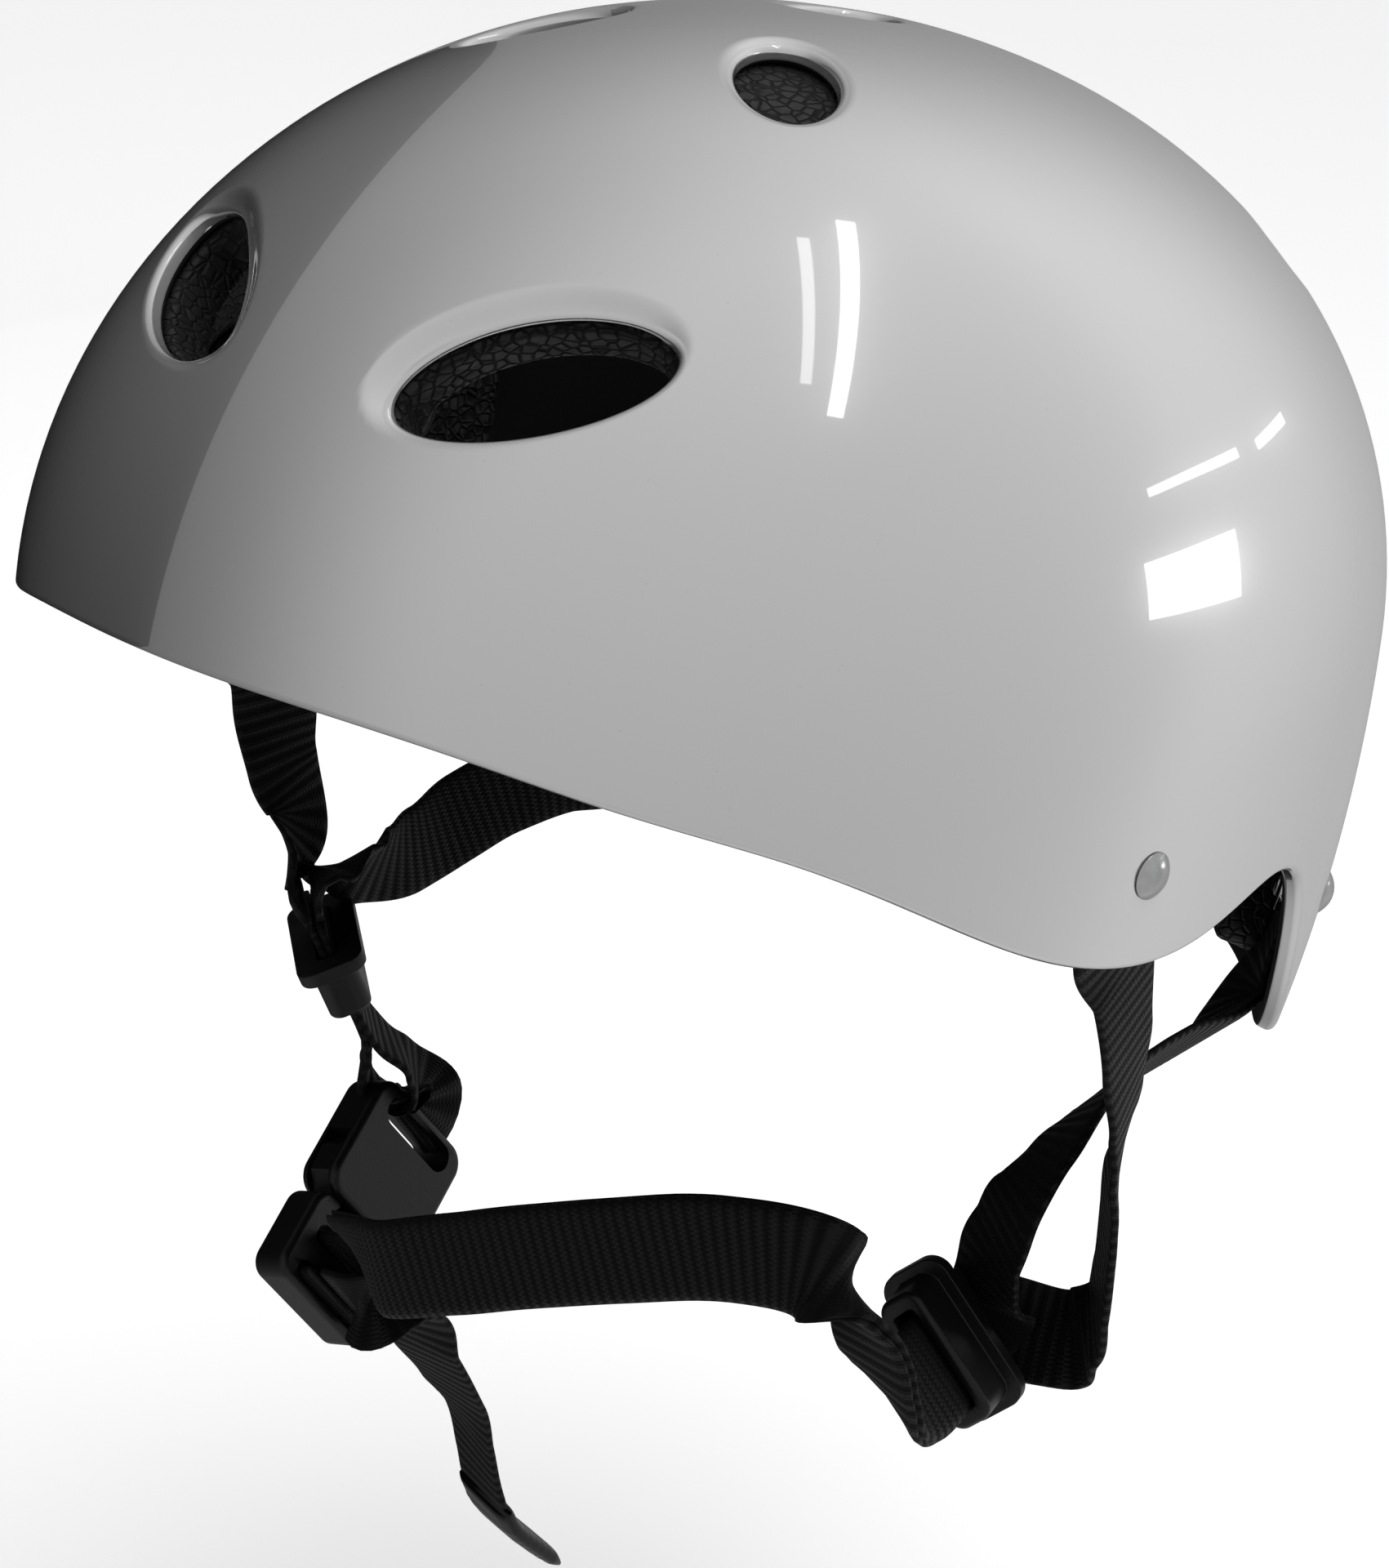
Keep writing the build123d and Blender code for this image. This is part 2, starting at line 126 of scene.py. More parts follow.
def angles_of(points):
    """Azimuth and rise of points on the form."""
    share = points / half_axes(points)
    return np.arctan2(share[..., 0], -share[..., 1]), np.arcsin(np.clip(share[..., 2], -1, 1))


def to_plan(azimuth, rise):
    """Unrolled plan position: the crown is the middle, the skirt the outer ring."""
    above = (math.pi / 2 - rise) / (math.pi / 2)
    below = 1 - SKIRT_DEPTH * np.sin(rise) / PLAN_SCALE
    reach = np.where(rise > 0, above, below) * PLAN_SCALE
    return np.stack([reach * np.sin(azimuth), -reach * np.cos(azimuth)], axis=-1)


def from_plan(plan):
    """Azimuth and rise of plan positions."""
    reach = np.linalg.norm(plan, axis=-1) / PLAN_SCALE
    azimuth = np.arctan2(plan[..., 0], -plan[..., 1])
    above = (1 - reach) * math.pi / 2
    below = -np.arcsin(np.clip((reach - 1) * PLAN_SCALE / SKIRT_DEPTH, 0, 1))
    return azimuth, np.where(reach < 1, above, below)


def onto_form(points, direction):
    """Slides points along direction until they lie on the form."""
    points = np.array(points, float)
    for _ in range(12):
        axes = half_axes(points)
        excess = ((points / axes) ** 2).sum(1) - 1
        slope = (2 * points / axes**2) @ direction
        points -= np.outer(excess / slope, direction)
    return points


def seat_axes(azimuth, rise, turn=0.0):
    """Centre, level direction, upward direction and normal of the form at one place, in degrees."""
    centre = form_point(math.radians(azimuth), math.radians(rise))
    normal = form_normal(centre)
    level = np.cross((0, 0, 1), normal)
    level /= np.linalg.norm(level)
    upward = np.cross(normal, level)
    cos_t, sin_t = math.cos(math.radians(turn)), math.sin(math.radians(turn))
    return centre, level * cos_t + upward * sin_t, upward * cos_t - level * sin_t, normal


def smooth_curve(points, count):
    """Natural cubic curve through points, spaced by chord length."""
    points = np.array(points, float)
    knots = np.concatenate([[0], np.cumsum(np.linalg.norm(np.diff(points, axis=0), axis=1))])
    gaps = np.diff(knots)
    size = len(points)
    system = np.eye(size)
    right = np.zeros_like(points)
    for i in range(1, size - 1):
        system[i, i - 1:i + 2] = gaps[i - 1], 2 * (gaps[i - 1] + gaps[i]), gaps[i]
        right[i] = 6 * ((points[i + 1] - points[i]) / gaps[i] - (points[i] - points[i - 1]) / gaps[i - 1])
    bend = np.linalg.solve(system, right)
    at = np.linspace(0, knots[-1], count)
    i = np.clip(np.searchsorted(knots, at, side="right") - 1, 0, size - 2)
    gap, left, rest = gaps[i][:, None], (at - knots[i])[:, None], (knots[i + 1] - at)[:, None]
    return (
        bend[i] * rest**3 / (6 * gap) + bend[i + 1] * left**3 / (6 * gap)
        + (points[i] / gap - bend[i] * gap / 6) * rest
        + (points[i + 1] / gap - bend[i + 1] * gap / 6) * left
    )


RIM_CURVE = smooth_curve(RIM_LINE, 1200)


def rim_height(y):
    """Height of the rim in side view."""
    return np.interp(y, RIM_CURVE[:, 0], RIM_CURVE[:, 1])


def rise_at_rim(azimuth, lift):
    """Rise where each azimuth meets the rim, raised by lift."""
    low, high = np.full_like(azimuth, math.radians(-40)), np.full_like(azimuth, math.radians(40))
    for _ in range(40):
        middle = (low + high) / 2
        spot = form_point(azimuth, middle)
        under = spot[:, 2] < rim_height(spot[:, 1]) + lift
        low, high = np.where(under, middle, low), np.where(under, high, middle)
    return (low + high) / 2


def true_azimuth(degrees):
    """Azimuth on the form of a plan direction seen from above."""
    angle = np.radians(degrees)
    reach = np.where(np.cos(angle) > 0, FRONT_REACH, REAR_REACH)
    return np.arctan2(np.sin(angle) * reach, np.cos(angle) * HALF_WIDTH)


# --- mesh helpers -----------------------------------------------------------------------------
def make_piece(name, points, faces, normals=None):
    """Mesh object from millimetre points, smooth, with outward faces."""
    mesh = bpy.data.meshes.new(name)
    mesh.from_pydata((np.asarray(points) * MM).tolist(), [], faces)
    mesh.validate()
    shaper = bmesh.new()
    shaper.from_mesh(mesh)
    bmesh.ops.recalc_face_normals(shaper, faces=shaper.faces)
    shaper.to_mesh(mesh)
    shaper.free()
    mesh.polygons.foreach_set("use_smooth", [True] * len(mesh.polygons))
    if normals is not None:
        mesh.normals_split_custom_set_from_vertices(np.asarray(normals).tolist())
    piece = bpy.data.objects.new(name, mesh)
    bpy.context.scene.collection.objects.link(piece)
    return piece


def unit(vectors):
    """Vectors brought to length one."""
    return vectors / np.maximum(np.linalg.norm(vectors, axis=-1, keepdims=True), 1e-12)


def inside(points, loop):
    """Which plan points lie inside a closed loop."""
    start, end = loop, np.roll(loop, -1, axis=0)
    result = np.zeros(len(points), bool)
    for chunk in range(0, len(points), 4000):
        x, y = points[chunk:chunk + 4000, 0:1], points[chunk:chunk + 4000, 1:2]
        crosses = (start[:, 1] > y) != (end[:, 1] > y)
        run = np.where(end[:, 1] == start[:, 1], 1, end[:, 1] - start[:, 1])
        at = start[:, 0] + (y - start[:, 1]) * (end[:, 0] - start[:, 0]) / run
        result[chunk:chunk + 4000] = (crosses & (x < at)).sum(1) % 2 == 1
    return result


def distance_to(points, loop):
    """Distance in the plan from each point to the nearest point of a loop."""
    result = np.empty(len(points))
    for chunk in range(0, len(points), 2000):
        gap = points[chunk:chunk + 2000, None, :] - loop[None, :, :]
        result[chunk:chunk + 2000] = np.sqrt((gap**2).sum(2).min(1))
    return result


def ring_offset(loop, step, inward):
    """Loop moved sideways by step, towards its inside or its outside."""
    along = unit(np.roll(loop, -1, axis=0) - np.roll(loop, 1, axis=0))
    side = np.stack([-along[:, 1], along[:, 0]], axis=-1)
    area = (loop[:, 0] * np.roll(loop[:, 1], -1) - loop[:, 1] * np.roll(loop[:, 0], -1)).sum()
    turn = 1 if (area > 0) == inward else -1
    return loop + side * step * turn


def hex_grid(low, high, spacing):
    """Even staggered grid over a box of the plan."""
    rows = np.arange(low[1], high[1], spacing * math.sqrt(3) / 2)
    columns = np.arange(low[0], high[0], spacing)
    shift = (np.arange(len(rows)) % 2) * spacing / 2
    x = columns[None, :] + shift[:, None]
    y = np.repeat(rows[:, None], len(columns), axis=1)
    return np.stack([x.ravel(), y.ravel()], axis=-1)


def triangulate(outer, holes, rings, spacing, margin):
    """Triangles over the plan between the outer loop and the holes; returns points, faces, loops."""
    grid = hex_grid(outer.min(0), outer.max(0), spacing)
    grid = grid[inside(grid, outer)]
    grid = grid[distance_to(grid, outer) > margin]
    for hole in holes:
        grid = grid[~inside(grid, hole)]
        grid = grid[distance_to(grid, hole) > margin]
    loops = [outer, *holes]
    points = np.concatenate([*loops, *rings, grid])
    edges, start = [], 0
    for loop in loops:
        size = len(loop)
        edges += [(start + i, start + (i + 1) % size) for i in range(size)]
        start += size
    made = geometry.delaunay_2d_cdt([Vector(p) for p in points.tolist()], edges, [], 0, 1e-5)
    spots = np.array([tuple(v) for v in made[0]])
    faces = np.array([list(f) for f in made[2]])
    centres = spots[faces].mean(1)
    keep = inside(centres, outer)
    for hole in holes:
        keep &= ~inside(centres, hole)
    place = {}
    for new, olds in enumerate(made[3]):
        for old in olds:
            place[old] = new
    index, start = [], 0
    for loop in loops:
        index.append([place[start + i] for i in range(len(loop))])
        start += len(loop)
    return spots, faces[keep], index


def surface_normals(spots, surface, sign):
    """Normals of a surface over the plan by small steps, facing out for sign 1."""
    step = 0.05
    across = surface(spots + (step, 0)) - surface(spots - (step, 0))
    along = surface(spots + (0, step)) - surface(spots - (0, step))
    normal = unit(np.cross(across, along))
    outward = form_normal(surface(spots))
    flip = np.where((normal * outward).sum(1) < 0, -1, 1)
    return normal * flip[:, None] * sign


def lip_rows(high, low, upward, away, round_r, steps):
    """Rounded lip from the upper face's edge to the lower one's: rows of points and normals."""
    quarter = [math.pi / 2 * k / steps for k in range(steps + 1)]
    upper = [(high, -1, angle) for angle in quarter[1:]]
    lower = [(low, 1, angle) for angle in quarter[:0:-1]]
    rows, normals = [], []
    for edge, sign, angle in upper + lower:
        inset = edge + sign * upward * round_r * (1 - math.cos(angle))
        rows.append(inset + away * round_r * math.sin(angle))
        normals.append(-sign * upward * math.cos(angle) + away * math.sin(angle))
    return rows, normals


def domed_sheet(name, outer, holes, rings, out_face, in_face, corner, spacing, margin, steps=4):
    """Closed sheet between two faces over the plan, with rounded lips along every loop."""
    spots, faces, loops = triangulate(outer, holes, rings, spacing, margin)
    used = np.unique(faces)
    slim = np.full(len(spots), -1)
    slim[used] = np.arange(len(used))
    spots, faces = spots[used], slim[faces]
    loops = [slim[np.array(loop)] for loop in loops]
    top, base = out_face(spots), in_face(spots)
    count = len(spots)
    points = [top, base]
    normals = [surface_normals(spots, out_face, 1), surface_normals(spots, in_face, -1)]
    polygons = [tuple(face) for face in faces.tolist()]
    polygons += [(a + count, c + count, b + count) for a, b, c in faces.tolist()]
    total = 2 * count
    for number, loop in enumerate(loops):
        high, low = top[loop], base[loop]
        half = np.linalg.norm(high - low, axis=1, keepdims=True) / 2
        upward = unit(high - low)
        tangent = unit(np.roll(high, -1, axis=0) - np.roll(high, 1, axis=0))
        away = unit(np.cross(tangent, upward))
        plan = spots[loop]
        nudge = ring_offset(plan, 0.5, inward=number > 0)
        toward = out_face(nudge) - out_face(plan)
        away *= np.where((away * toward).sum(1, keepdims=True) < 0, -1, 1)
        round_r = np.minimum(corner, half * 0.98)
        rows, row_normals = lip_rows(high, low, upward, away, round_r, steps)
        points += rows
        normals += row_normals
        size = len(loop)
        chain = [np.array(loop)] + [total + k * size + np.arange(size) for k in range(len(rows))]
        chain.append(np.array(loop) + count)
        total += size * len(rows)
        for upper, lower in zip(chain, chain[1:]):
            polygons += [
                (int(upper[i]), int(upper[(i + 1) % size]), int(lower[(i + 1) % size]), int(lower[i]))
                for i in range(size)
            ]
    return make_piece(name, np.concatenate(points), polygons, unit(np.concatenate(normals)))


# --- shader groups ----------------------------------------------------------------------------
def node_group(name, inputs, outputs):
    """Empty shader group with named sockets: returns the group, its input node and output node."""
    group = bpy.data.node_groups.new(name, "ShaderNodeTree")
    for label, kind, value in inputs:
        socket = group.interface.new_socket(label, in_out="INPUT", socket_type=kind)
        socket.default_value = value
    for label, kind in outputs:
        group.interface.new_socket(label, in_out="OUTPUT", socket_type=kind)
    return group, group.nodes.new("NodeGroupInput"), group.nodes.new("NodeGroupOutput")


def wire(tree, source, target):
    """Links one socket to another."""
    tree.links.new(source, target)


def add_node(tree, kind, **settings):
    """New node with its properties set."""
    node = tree.nodes.new(kind)
    for key, value in settings.items():
        setattr(node, key, value)
    return node


def math_node(tree, operation, first, second=None, clamp=False):
    """Math node fed by sockets or numbers; returns its output."""
    node = add_node(tree, "ShaderNodeMath", operation=operation, use_clamp=clamp)
    for socket, value in zip(node.inputs, (first, second)):
        if value is None:
            continue
        if isinstance(value, (int, float)):
            socket.default_value = value
        else:
            wire(tree, value, socket)
    return node.outputs[0]


def noise_node(tree, place, scale, detail=4.0, rough=0.5):
    """Noise at a scale; returns its value."""
    node = add_node(tree, "ShaderNodeTexNoise")
    node.inputs["Detail"].default_value = detail
    node.inputs["Roughness"].default_value = rough
    wire(tree, place, node.inputs["Vector"])
    if isinstance(scale, (int, float)):
        node.inputs["Scale"].default_value = scale
    else:
        wire(tree, scale, node.inputs["Scale"])
    return node.outputs["Fac"]


def ramp_node(tree, value, low, high, from_value=0.0, to_value=1.0):
    """Smooth step of a value between low and high; returns the result."""
    node = add_node(tree, "ShaderNodeMapRange", interpolation_type="SMOOTHSTEP")
    wire(tree, value, node.inputs["Value"])
    limits = {"From Min": low, "From Max": high, "To Min": from_value, "To Max": to_value}
    for label, number in limits.items():
        node.inputs[label].default_value = number
    return node.outputs["Result"]


def mix_colours(tree, share, first, second):
    """Colour mix by a mask; colours are sockets or tuples."""
    node = add_node(tree, "ShaderNodeMix", data_type="RGBA")
    wire(tree, share, node.inputs[0])
    for socket, value in ((node.inputs[6], first), (node.inputs[7], second)):
        if isinstance(value, tuple):
            socket.default_value = value
        else:
            wire(tree, value, socket)
    return node.outputs[2]


def scratch_group():
    """Fine handling marks: thin broken lines in two directions, and small specks."""
    group, given, result = node_group(
        "handling_marks",
        [("Place", "NodeSocketVector", (0, 0, 0)), ("Density", "NodeSocketFloat", 0.5)],
        [("Lines", "NodeSocketFloat"), ("Specks", "NodeSocketFloat")],
    )
    found = None
    for turn, stretch in ((0.5, (40, 900, 300)), (-1.1, (700, 50, 400))):
        mapping = add_node(group, "ShaderNodeMapping")
        mapping.inputs["Rotation"].default_value = (turn, turn * 0.7, turn)
        mapping.inputs["Scale"].default_value = stretch
        wire(group, given.outputs["Place"], mapping.inputs["Vector"])
        lines = ramp_node(group, noise_node(group, mapping.outputs[0], 1.0, 2.0), 0.71, 0.76)
        found = lines if found is None else math_node(group, "MAXIMUM", found, lines)
    patches = ramp_node(group, noise_node(group, given.outputs["Place"], 26.0, 2.0), 0.5, 0.68)
    amount = math_node(group, "MULTIPLY", patches, given.outputs["Density"])
    wire(group, math_node(group, "MULTIPLY", found, amount, clamp=True), result.inputs["Lines"])
    specks = ramp_node(group, noise_node(group, given.outputs["Place"], 1500.0, 1.0), 0.77, 0.82)
    specks = math_node(group, "MULTIPLY", specks, given.outputs["Density"], clamp=True)
    wire(group, specks, result.inputs["Specks"])
    return group


def dust_group():
    """Soft dust that gathers in patches and on faces that look up."""
    group, given, result = node_group(
        "settled_dust",
        [("Place", "NodeSocketVector", (0, 0, 0)), ("Amount", "NodeSocketFloat", 0.3)],
        [("Mask", "NodeSocketFloat")],
    )
    patches = ramp_node(group, noise_node(group, given.outputs["Place"], 38.0, 6.0, 0.65), 0.42, 0.75)
    face = add_node(group, "ShaderNodeNewGeometry")
    split = add_node(group, "ShaderNodeSeparateXYZ")
    wire(group, face.outputs["Normal"], split.inputs[0])
    upward = ramp_node(group, split.outputs["Z"], -0.3, 1.0, 0.35, 1.0)
    share = math_node(group, "MULTIPLY", patches, upward)
    mask = math_node(group, "MULTIPLY", share, given.outputs["Amount"], clamp=True)
    wire(group, mask, result.inputs["Mask"])
    return group


def weave_group():
    """Ribbed webbing: crosswise picks and lengthwise yarns from the strap's own plan."""
    group, given, result = node_group(
        "ribbed_weave",
        [
            ("Plan", "NodeSocketVector", (0, 0, 0)),
            ("Rib Pitch", "NodeSocketFloat", 2.6),
            ("Yarn Pitch", "NodeSocketFloat", 0.9),
        ],
        [("Height", "NodeSocketFloat"), ("Rib", "NodeSocketFloat")],
    )
    split = add_node(group, "ShaderNodeSeparateXYZ")
    wire(group, given.outputs["Plan"], split.inputs[0])
    turn = 2 * math.pi
    rib_at = math_node(group, "DIVIDE", split.outputs["Y"], given.outputs["Rib Pitch"])
    rib = math_node(group, "COSINE", math_node(group, "MULTIPLY", rib_at, turn))
    rib = math_node(group, "MULTIPLY_ADD", rib, 0.5)
    rib.node.inputs[2].default_value = 0.5
    yarn_at = math_node(group, "DIVIDE", split.outputs["X"], given.outputs["Yarn Pitch"])
    half_rows = math_node(group, "FLOOR", math_node(group, "MULTIPLY", rib_at, 2.0))
    offset = math_node(group, "MULTIPLY", half_rows, 0.5)
    yarn_at = math_node(group, "ADD", yarn_at, offset)
    yarn_wave = math_node(group, "SINE", math_node(group, "MULTIPLY", yarn_at, math.pi))
    yarn = math_node(group, "ABSOLUTE", yarn_wave)
    pick_at = math_node(group, "MULTIPLY", rib_at, 4 * turn)
    pick = math_node(group, "MULTIPLY", math_node(group, "SINE", pick_at), 0.12)
    raised = math_node(group, "MULTIPLY", rib, 0.6)
    height = math_node(group, "ADD", math_node(group, "MULTIPLY", yarn, 0.55), raised)
    wire(group, math_node(group, "ADD", height, pick), result.inputs["Height"])
    wire(group, rib, result.inputs["Rib"])
    return group


GROUPS = {"marks": scratch_group(), "dust": dust_group(), "weave": weave_group()}


def place_group(tree, key, source=None, **values):
    """One of the shared groups placed in a material."""
    node = add_node(tree, "ShaderNodeGroup", node_tree=GROUPS[key])
    if source is not None:
        wire(tree, source, node.inputs[0])
    for label, value in values.items():
        node.inputs[label.replace("_", " ")].default_value = value
    return node


def start_material(name, **values):
    """Material with a Principled shader, its constants set, and object coordinates in metres."""
    material = bpy.data.materials.new(name)
    material.use_nodes = True
    tree = material.node_tree
    shader = tree.nodes["Principled BSDF"]
    for label, value in values.items():
        shader.inputs[label.replace("_", " ")].default_value = value
    place = add_node(tree, "ShaderNodeTexCoord").outputs["Object"]
    return material, tree, shader, place


def set_bump(tree, shader, height, strength, distance):
    """Bump from a height value."""
    bump = add_node(tree, "ShaderNodeBump")
    bump.inputs["Strength"].default_value = strength
    bump.inputs["Distance"].default_value = distance
    wire(tree, height, bump.inputs["Height"])
    wire(tree, bump.outputs["Normal"], shader.inputs["Normal"])


def grey(value, cool=0.0):
    """Opaque grey, slightly blue for cool above zero."""
    return (value * (1 - cool), value, value * (1 + cool), 1.0)


# --- materials --------------------------------------------------------------------------------
def gloss_shell():
    """Clear-coated moulded shell: even light grey, faint orange peel and handling marks."""
    material, tree, shader, place = start_material(
        "shell_gloss_grey", Coat_Weight=1.0, Coat_Roughness=0.03, Coat_IOR=1.9,
    )
    marks = place_group(tree, "marks", place, Density=0.35)
    dust = place_group(tree, "dust", place, Amount=0.12)
    cloud = noise_node(tree, place, 14.0, 3.0)
    colour = mix_colours(tree, cloud, grey(SHELL_TONE * 0.985), grey(SHELL_TONE * 1.015, 0.004))
    colour = mix_colours(tree, marks.outputs["Specks"], colour, grey(SHELL_TONE * 0.55))
    colour = mix_colours(tree, dust.outputs["Mask"], colour, grey(SHELL_TONE * 0.9))
    wire(tree, colour, shader.inputs["Base Color"])
    worn = math_node(tree, "ADD", marks.outputs["Lines"], dust.outputs["Mask"])
    rough = math_node(tree, "MULTIPLY_ADD", worn, 0.25)
    rough.node.inputs[2].default_value = 0.2
    wire(tree, rough, shader.inputs["Roughness"])
    peel = noise_node(tree, place, 170.0, 1.5)
    drift = noise_node(tree, place, 42.0, 1.0)
    height = math_node(tree, "ADD", math_node(tree, "MULTIPLY", peel, 0.25), drift)
    cuts = math_node(tree, "MULTIPLY", marks.outputs["Lines"], 0.6)
    height = math_node(tree, "SUBTRACT", height, cuts)
    set_bump(tree, shader, height, 0.35, 0.00012)
    return material


def cell_foam():
    """Closed-cell foam: pebbled skin of small cells, a few larger pits, with painted shade darkening the
    dips along the pit seams.
    """
    material, tree, shader, place = start_material("liner_foam", Specular_IOR_Level=0.06)
    cells = add_node(tree, "ShaderNodeTexVoronoi", feature="SMOOTH_F1")
    cells.inputs["Scale"].default_value = 330.0
    cells.inputs["Smoothness"].default_value = 0.35
    wire(tree, place, cells.inputs["Vector"])
    pits = add_node(tree, "ShaderNodeTexVoronoi", feature="DISTANCE_TO_EDGE")
    pits.inputs["Scale"].default_value = 430.0
    wire(tree, place, pits.inputs["Vector"])
    seams = ramp_node(tree, pits.outputs["Distance"], 0.0, 0.16)
    dome = math_node(tree, "SUBTRACT", 1.0, cells.outputs["Distance"])
    height = math_node(tree, "ADD", dome, math_node(tree, "MULTIPLY", seams, 0.9))
    set_bump(tree, shader, height, 0.8, 0.0006)
    dust = place_group(tree, "dust", place, Amount=0.35)
    # Painted shade: base colour darker in the dips along the pit seams, lighter on the raised cells.
    colour = mix_colours(tree, seams, grey(0.007), grey(0.016, 0.02))
    wire(tree, mix_colours(tree, dust.outputs["Mask"], colour, grey(0.03)), shader.inputs["Base Color"])
    rough = ramp_node(tree, seams, 0.0, 1.0, 0.75, 0.42)
    wire(tree, rough, shader.inputs["Roughness"])
    return material


def brushed_knit():
    """Brushed knit over the comfort pads: short loops, soft bright edge."""
    material, tree, shader, place = start_material(
        "pad_brushed_knit", Roughness=0.95, Sheen_Weight=0.35, Sheen_Roughness=0.5,
        Specular_IOR_Level=0.2,
    )
    loops = add_node(tree, "ShaderNodeTexVoronoi", feature="F1")
    loops.inputs["Scale"].default_value = 1100.0
    wire(tree, place, loops.inputs["Vector"])
    fuzz = noise_node(tree, place, 2600.0, 3.0, 0.7)
    height = math_node(tree, "ADD", loops.outputs["Distance"], math_node(tree, "MULTIPLY", fuzz, 0.8))
    set_bump(tree, shader, height, 0.6, 0.0004)
    dust = place_group(tree, "dust", place, Amount=0.4)
    colour = mix_colours(tree, fuzz, grey(0.012), grey(0.045, 0.02))
    wire(tree, mix_colours(tree, dust.outputs["Mask"], colour, grey(0.09)), shader.inputs["Base Color"])
    return material


def ribbed_webbing():
    """Black nylon webbing with crosswise ribs and fine lengthwise yarns; its colour is painted lighter on
    the raised ribs and darker in the grooves, as highlight and shade.
    """
    material, tree, shader, place = start_material(
        "webbing_black", Sheen_Weight=0.01, Sheen_Roughness=0.35, Specular_IOR_Level=0.04,
    )
    plan = add_node(tree, "ShaderNodeUVMap", uv_map="strap_plan").outputs["UV"]
    weave = place_group(tree, "weave", plan, Rib_Pitch=RIB_PITCH, Yarn_Pitch=0.95)
    fuzz = noise_node(tree, place, 2400.0, 3.0, 0.7)
    height = math_node(tree, "ADD", weave.outputs["Height"], math_node(tree, "MULTIPLY", fuzz, 0.35))
    set_bump(tree, shader, height, 0.75, 0.00028)
    dust = place_group(tree, "dust", place, Amount=0.1)
    # Painted highlight and shade: base colour lighter on the raised ribs, darker in the grooves between
    # them.
    colour = mix_colours(tree, weave.outputs["Rib"], grey(0.003), grey(0.009, 0.03))
    wire(tree, mix_colours(tree, dust.outputs["Mask"], colour, grey(0.03)), shader.inputs["Base Color"])
    wire(tree, ramp_node(tree, weave.outputs["Rib"], 0.0, 1.0, 0.78, 0.46), shader.inputs["Roughness"])
    return material


def moulded_black(name, roughness, texture):
    """Moulded black plastic with a fine mould texture, marks and worn faces."""
    material, tree, shader, place = start_material(name, Specular_IOR_Level=0.07)
    marks = place_group(tree, "marks", place, Density=0.8)
    dust = place_group(tree, "dust", place, Amount=0.25)
    grain = noise_node(tree, place, 1900.0, 2.0, 0.6)
    colour = mix_colours(tree, grain, grey(0.005), grey(0.009, 0.03))
    colour = mix_colours(tree, dust.outputs["Mask"], colour, grey(0.025))
    wire(tree, mix_colours(tree, marks.outputs["Lines"], colour, grey(0.03)), shader.inputs["Base Color"])
    worn = math_node(tree, "MULTIPLY_ADD", marks.outputs["Lines"], 0.25)
    worn.node.inputs[2].default_value = roughness
    dulled = math_node(tree, "MULTIPLY", dust.outputs["Mask"], 0.4)
    wire(tree, math_node(tree, "ADD", worn, dulled), shader.inputs["Roughness"])
    set_bump(tree, shader, grain, texture, 0.00008)
    return material


def polished_steel():
    """Polished rivet steel with fine turning marks and small dents."""
    material, tree, shader, place = start_material("rivet_polished_steel", Metallic=1.0)
    marks = place_group(tree, "marks", place, Density=1.0)
    cloud = noise_node(tree, place, 420.0, 3.0)
    wire(tree, mix_colours(tree, cloud, grey(0.09), grey(0.16, 0.01)), shader.inputs["Base Color"])
    rough = math_node(tree, "MULTIPLY_ADD", math_node(tree, "ADD", cloud, marks.outputs["Lines"]), 0.2)
    rough.node.inputs[2].default_value = 0.08
    wire(tree, rough, shader.inputs["Roughness"])
    set_bump(tree, shader, noise_node(tree, place, 260.0, 2.0), 0.25, 0.0002)
    return material


SHELL_TONE = 0.30
RIB_PITCH = 2.6
SHELL_FINISH = gloss_shell()
FOAM_FINISH = cell_foam()
PAD_FINISH = brushed_knit()
WEBBING_FINISH = ribbed_webbing()
BUCKLE_FINISH = moulded_black("acetal_black", 0.36, 0.5)
TIP_FINISH = moulded_black("tip_gloss_black", 0.2, 0.15)
STEEL_FINISH = polished_steel()
# Near-black matt material for the shell's inward faces: painted shade for the shaded inside of the shell.
INNER_PAINTED_SHADE = moulded_black("shell_inner_painted_shade", 0.8, 0.3)


def finish_piece(piece, material, body, slot, *nodes):
    """Gives a piece its material, body and the nodes it stands for; the slot argument is not used."""
    piece.data.materials.clear()
    piece.data.materials.append(material)
    if nodes:
        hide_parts(*nodes)
    if body:
        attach(piece, body)
    return piece


# --- shell ------------------------------------------------------------------------------------
SHELL_CORNER = 1.4            # lip radius at the rim and the vents
SAME_SIDE = 40.0              # how far behind a vent's plane the shell still counts as near it
INWARD = -0.25                # faces turned this much against the form look into the helmet
VENT_SUPPORTS = (0.6, 1.3, 2.0, 2.8, 3.6, 4.5, 5.5, 6.6, 8.0)
RIM_SUPPORTS = (1.2, 2.6, 4.5)


def vent_loop(vent, grow, count):
    """Plan loop of one vent's outline, grown."""
    azimuth, rise, turn, half_l, half_h = vent
    centre, level, upward, normal = seat_axes(azimuth, rise, turn)
    angle = np.arange(count) / count * 2 * math.pi
    local = (
        np.outer((half_l + grow) * np.cos(angle), level)
        + np.outer((half_h + grow) * np.sin(angle), upward)
    )
    return to_plan(*angles_of(onto_form(centre + local, normal)))


def rim_loop(lift, count=900):
    """Plan loop of the rim, raised by lift."""
    azimuth = (np.arange(count) + 0.5) / count * 2 * math.pi
    return to_plan(azimuth, rise_at_rim(azimuth, lift))


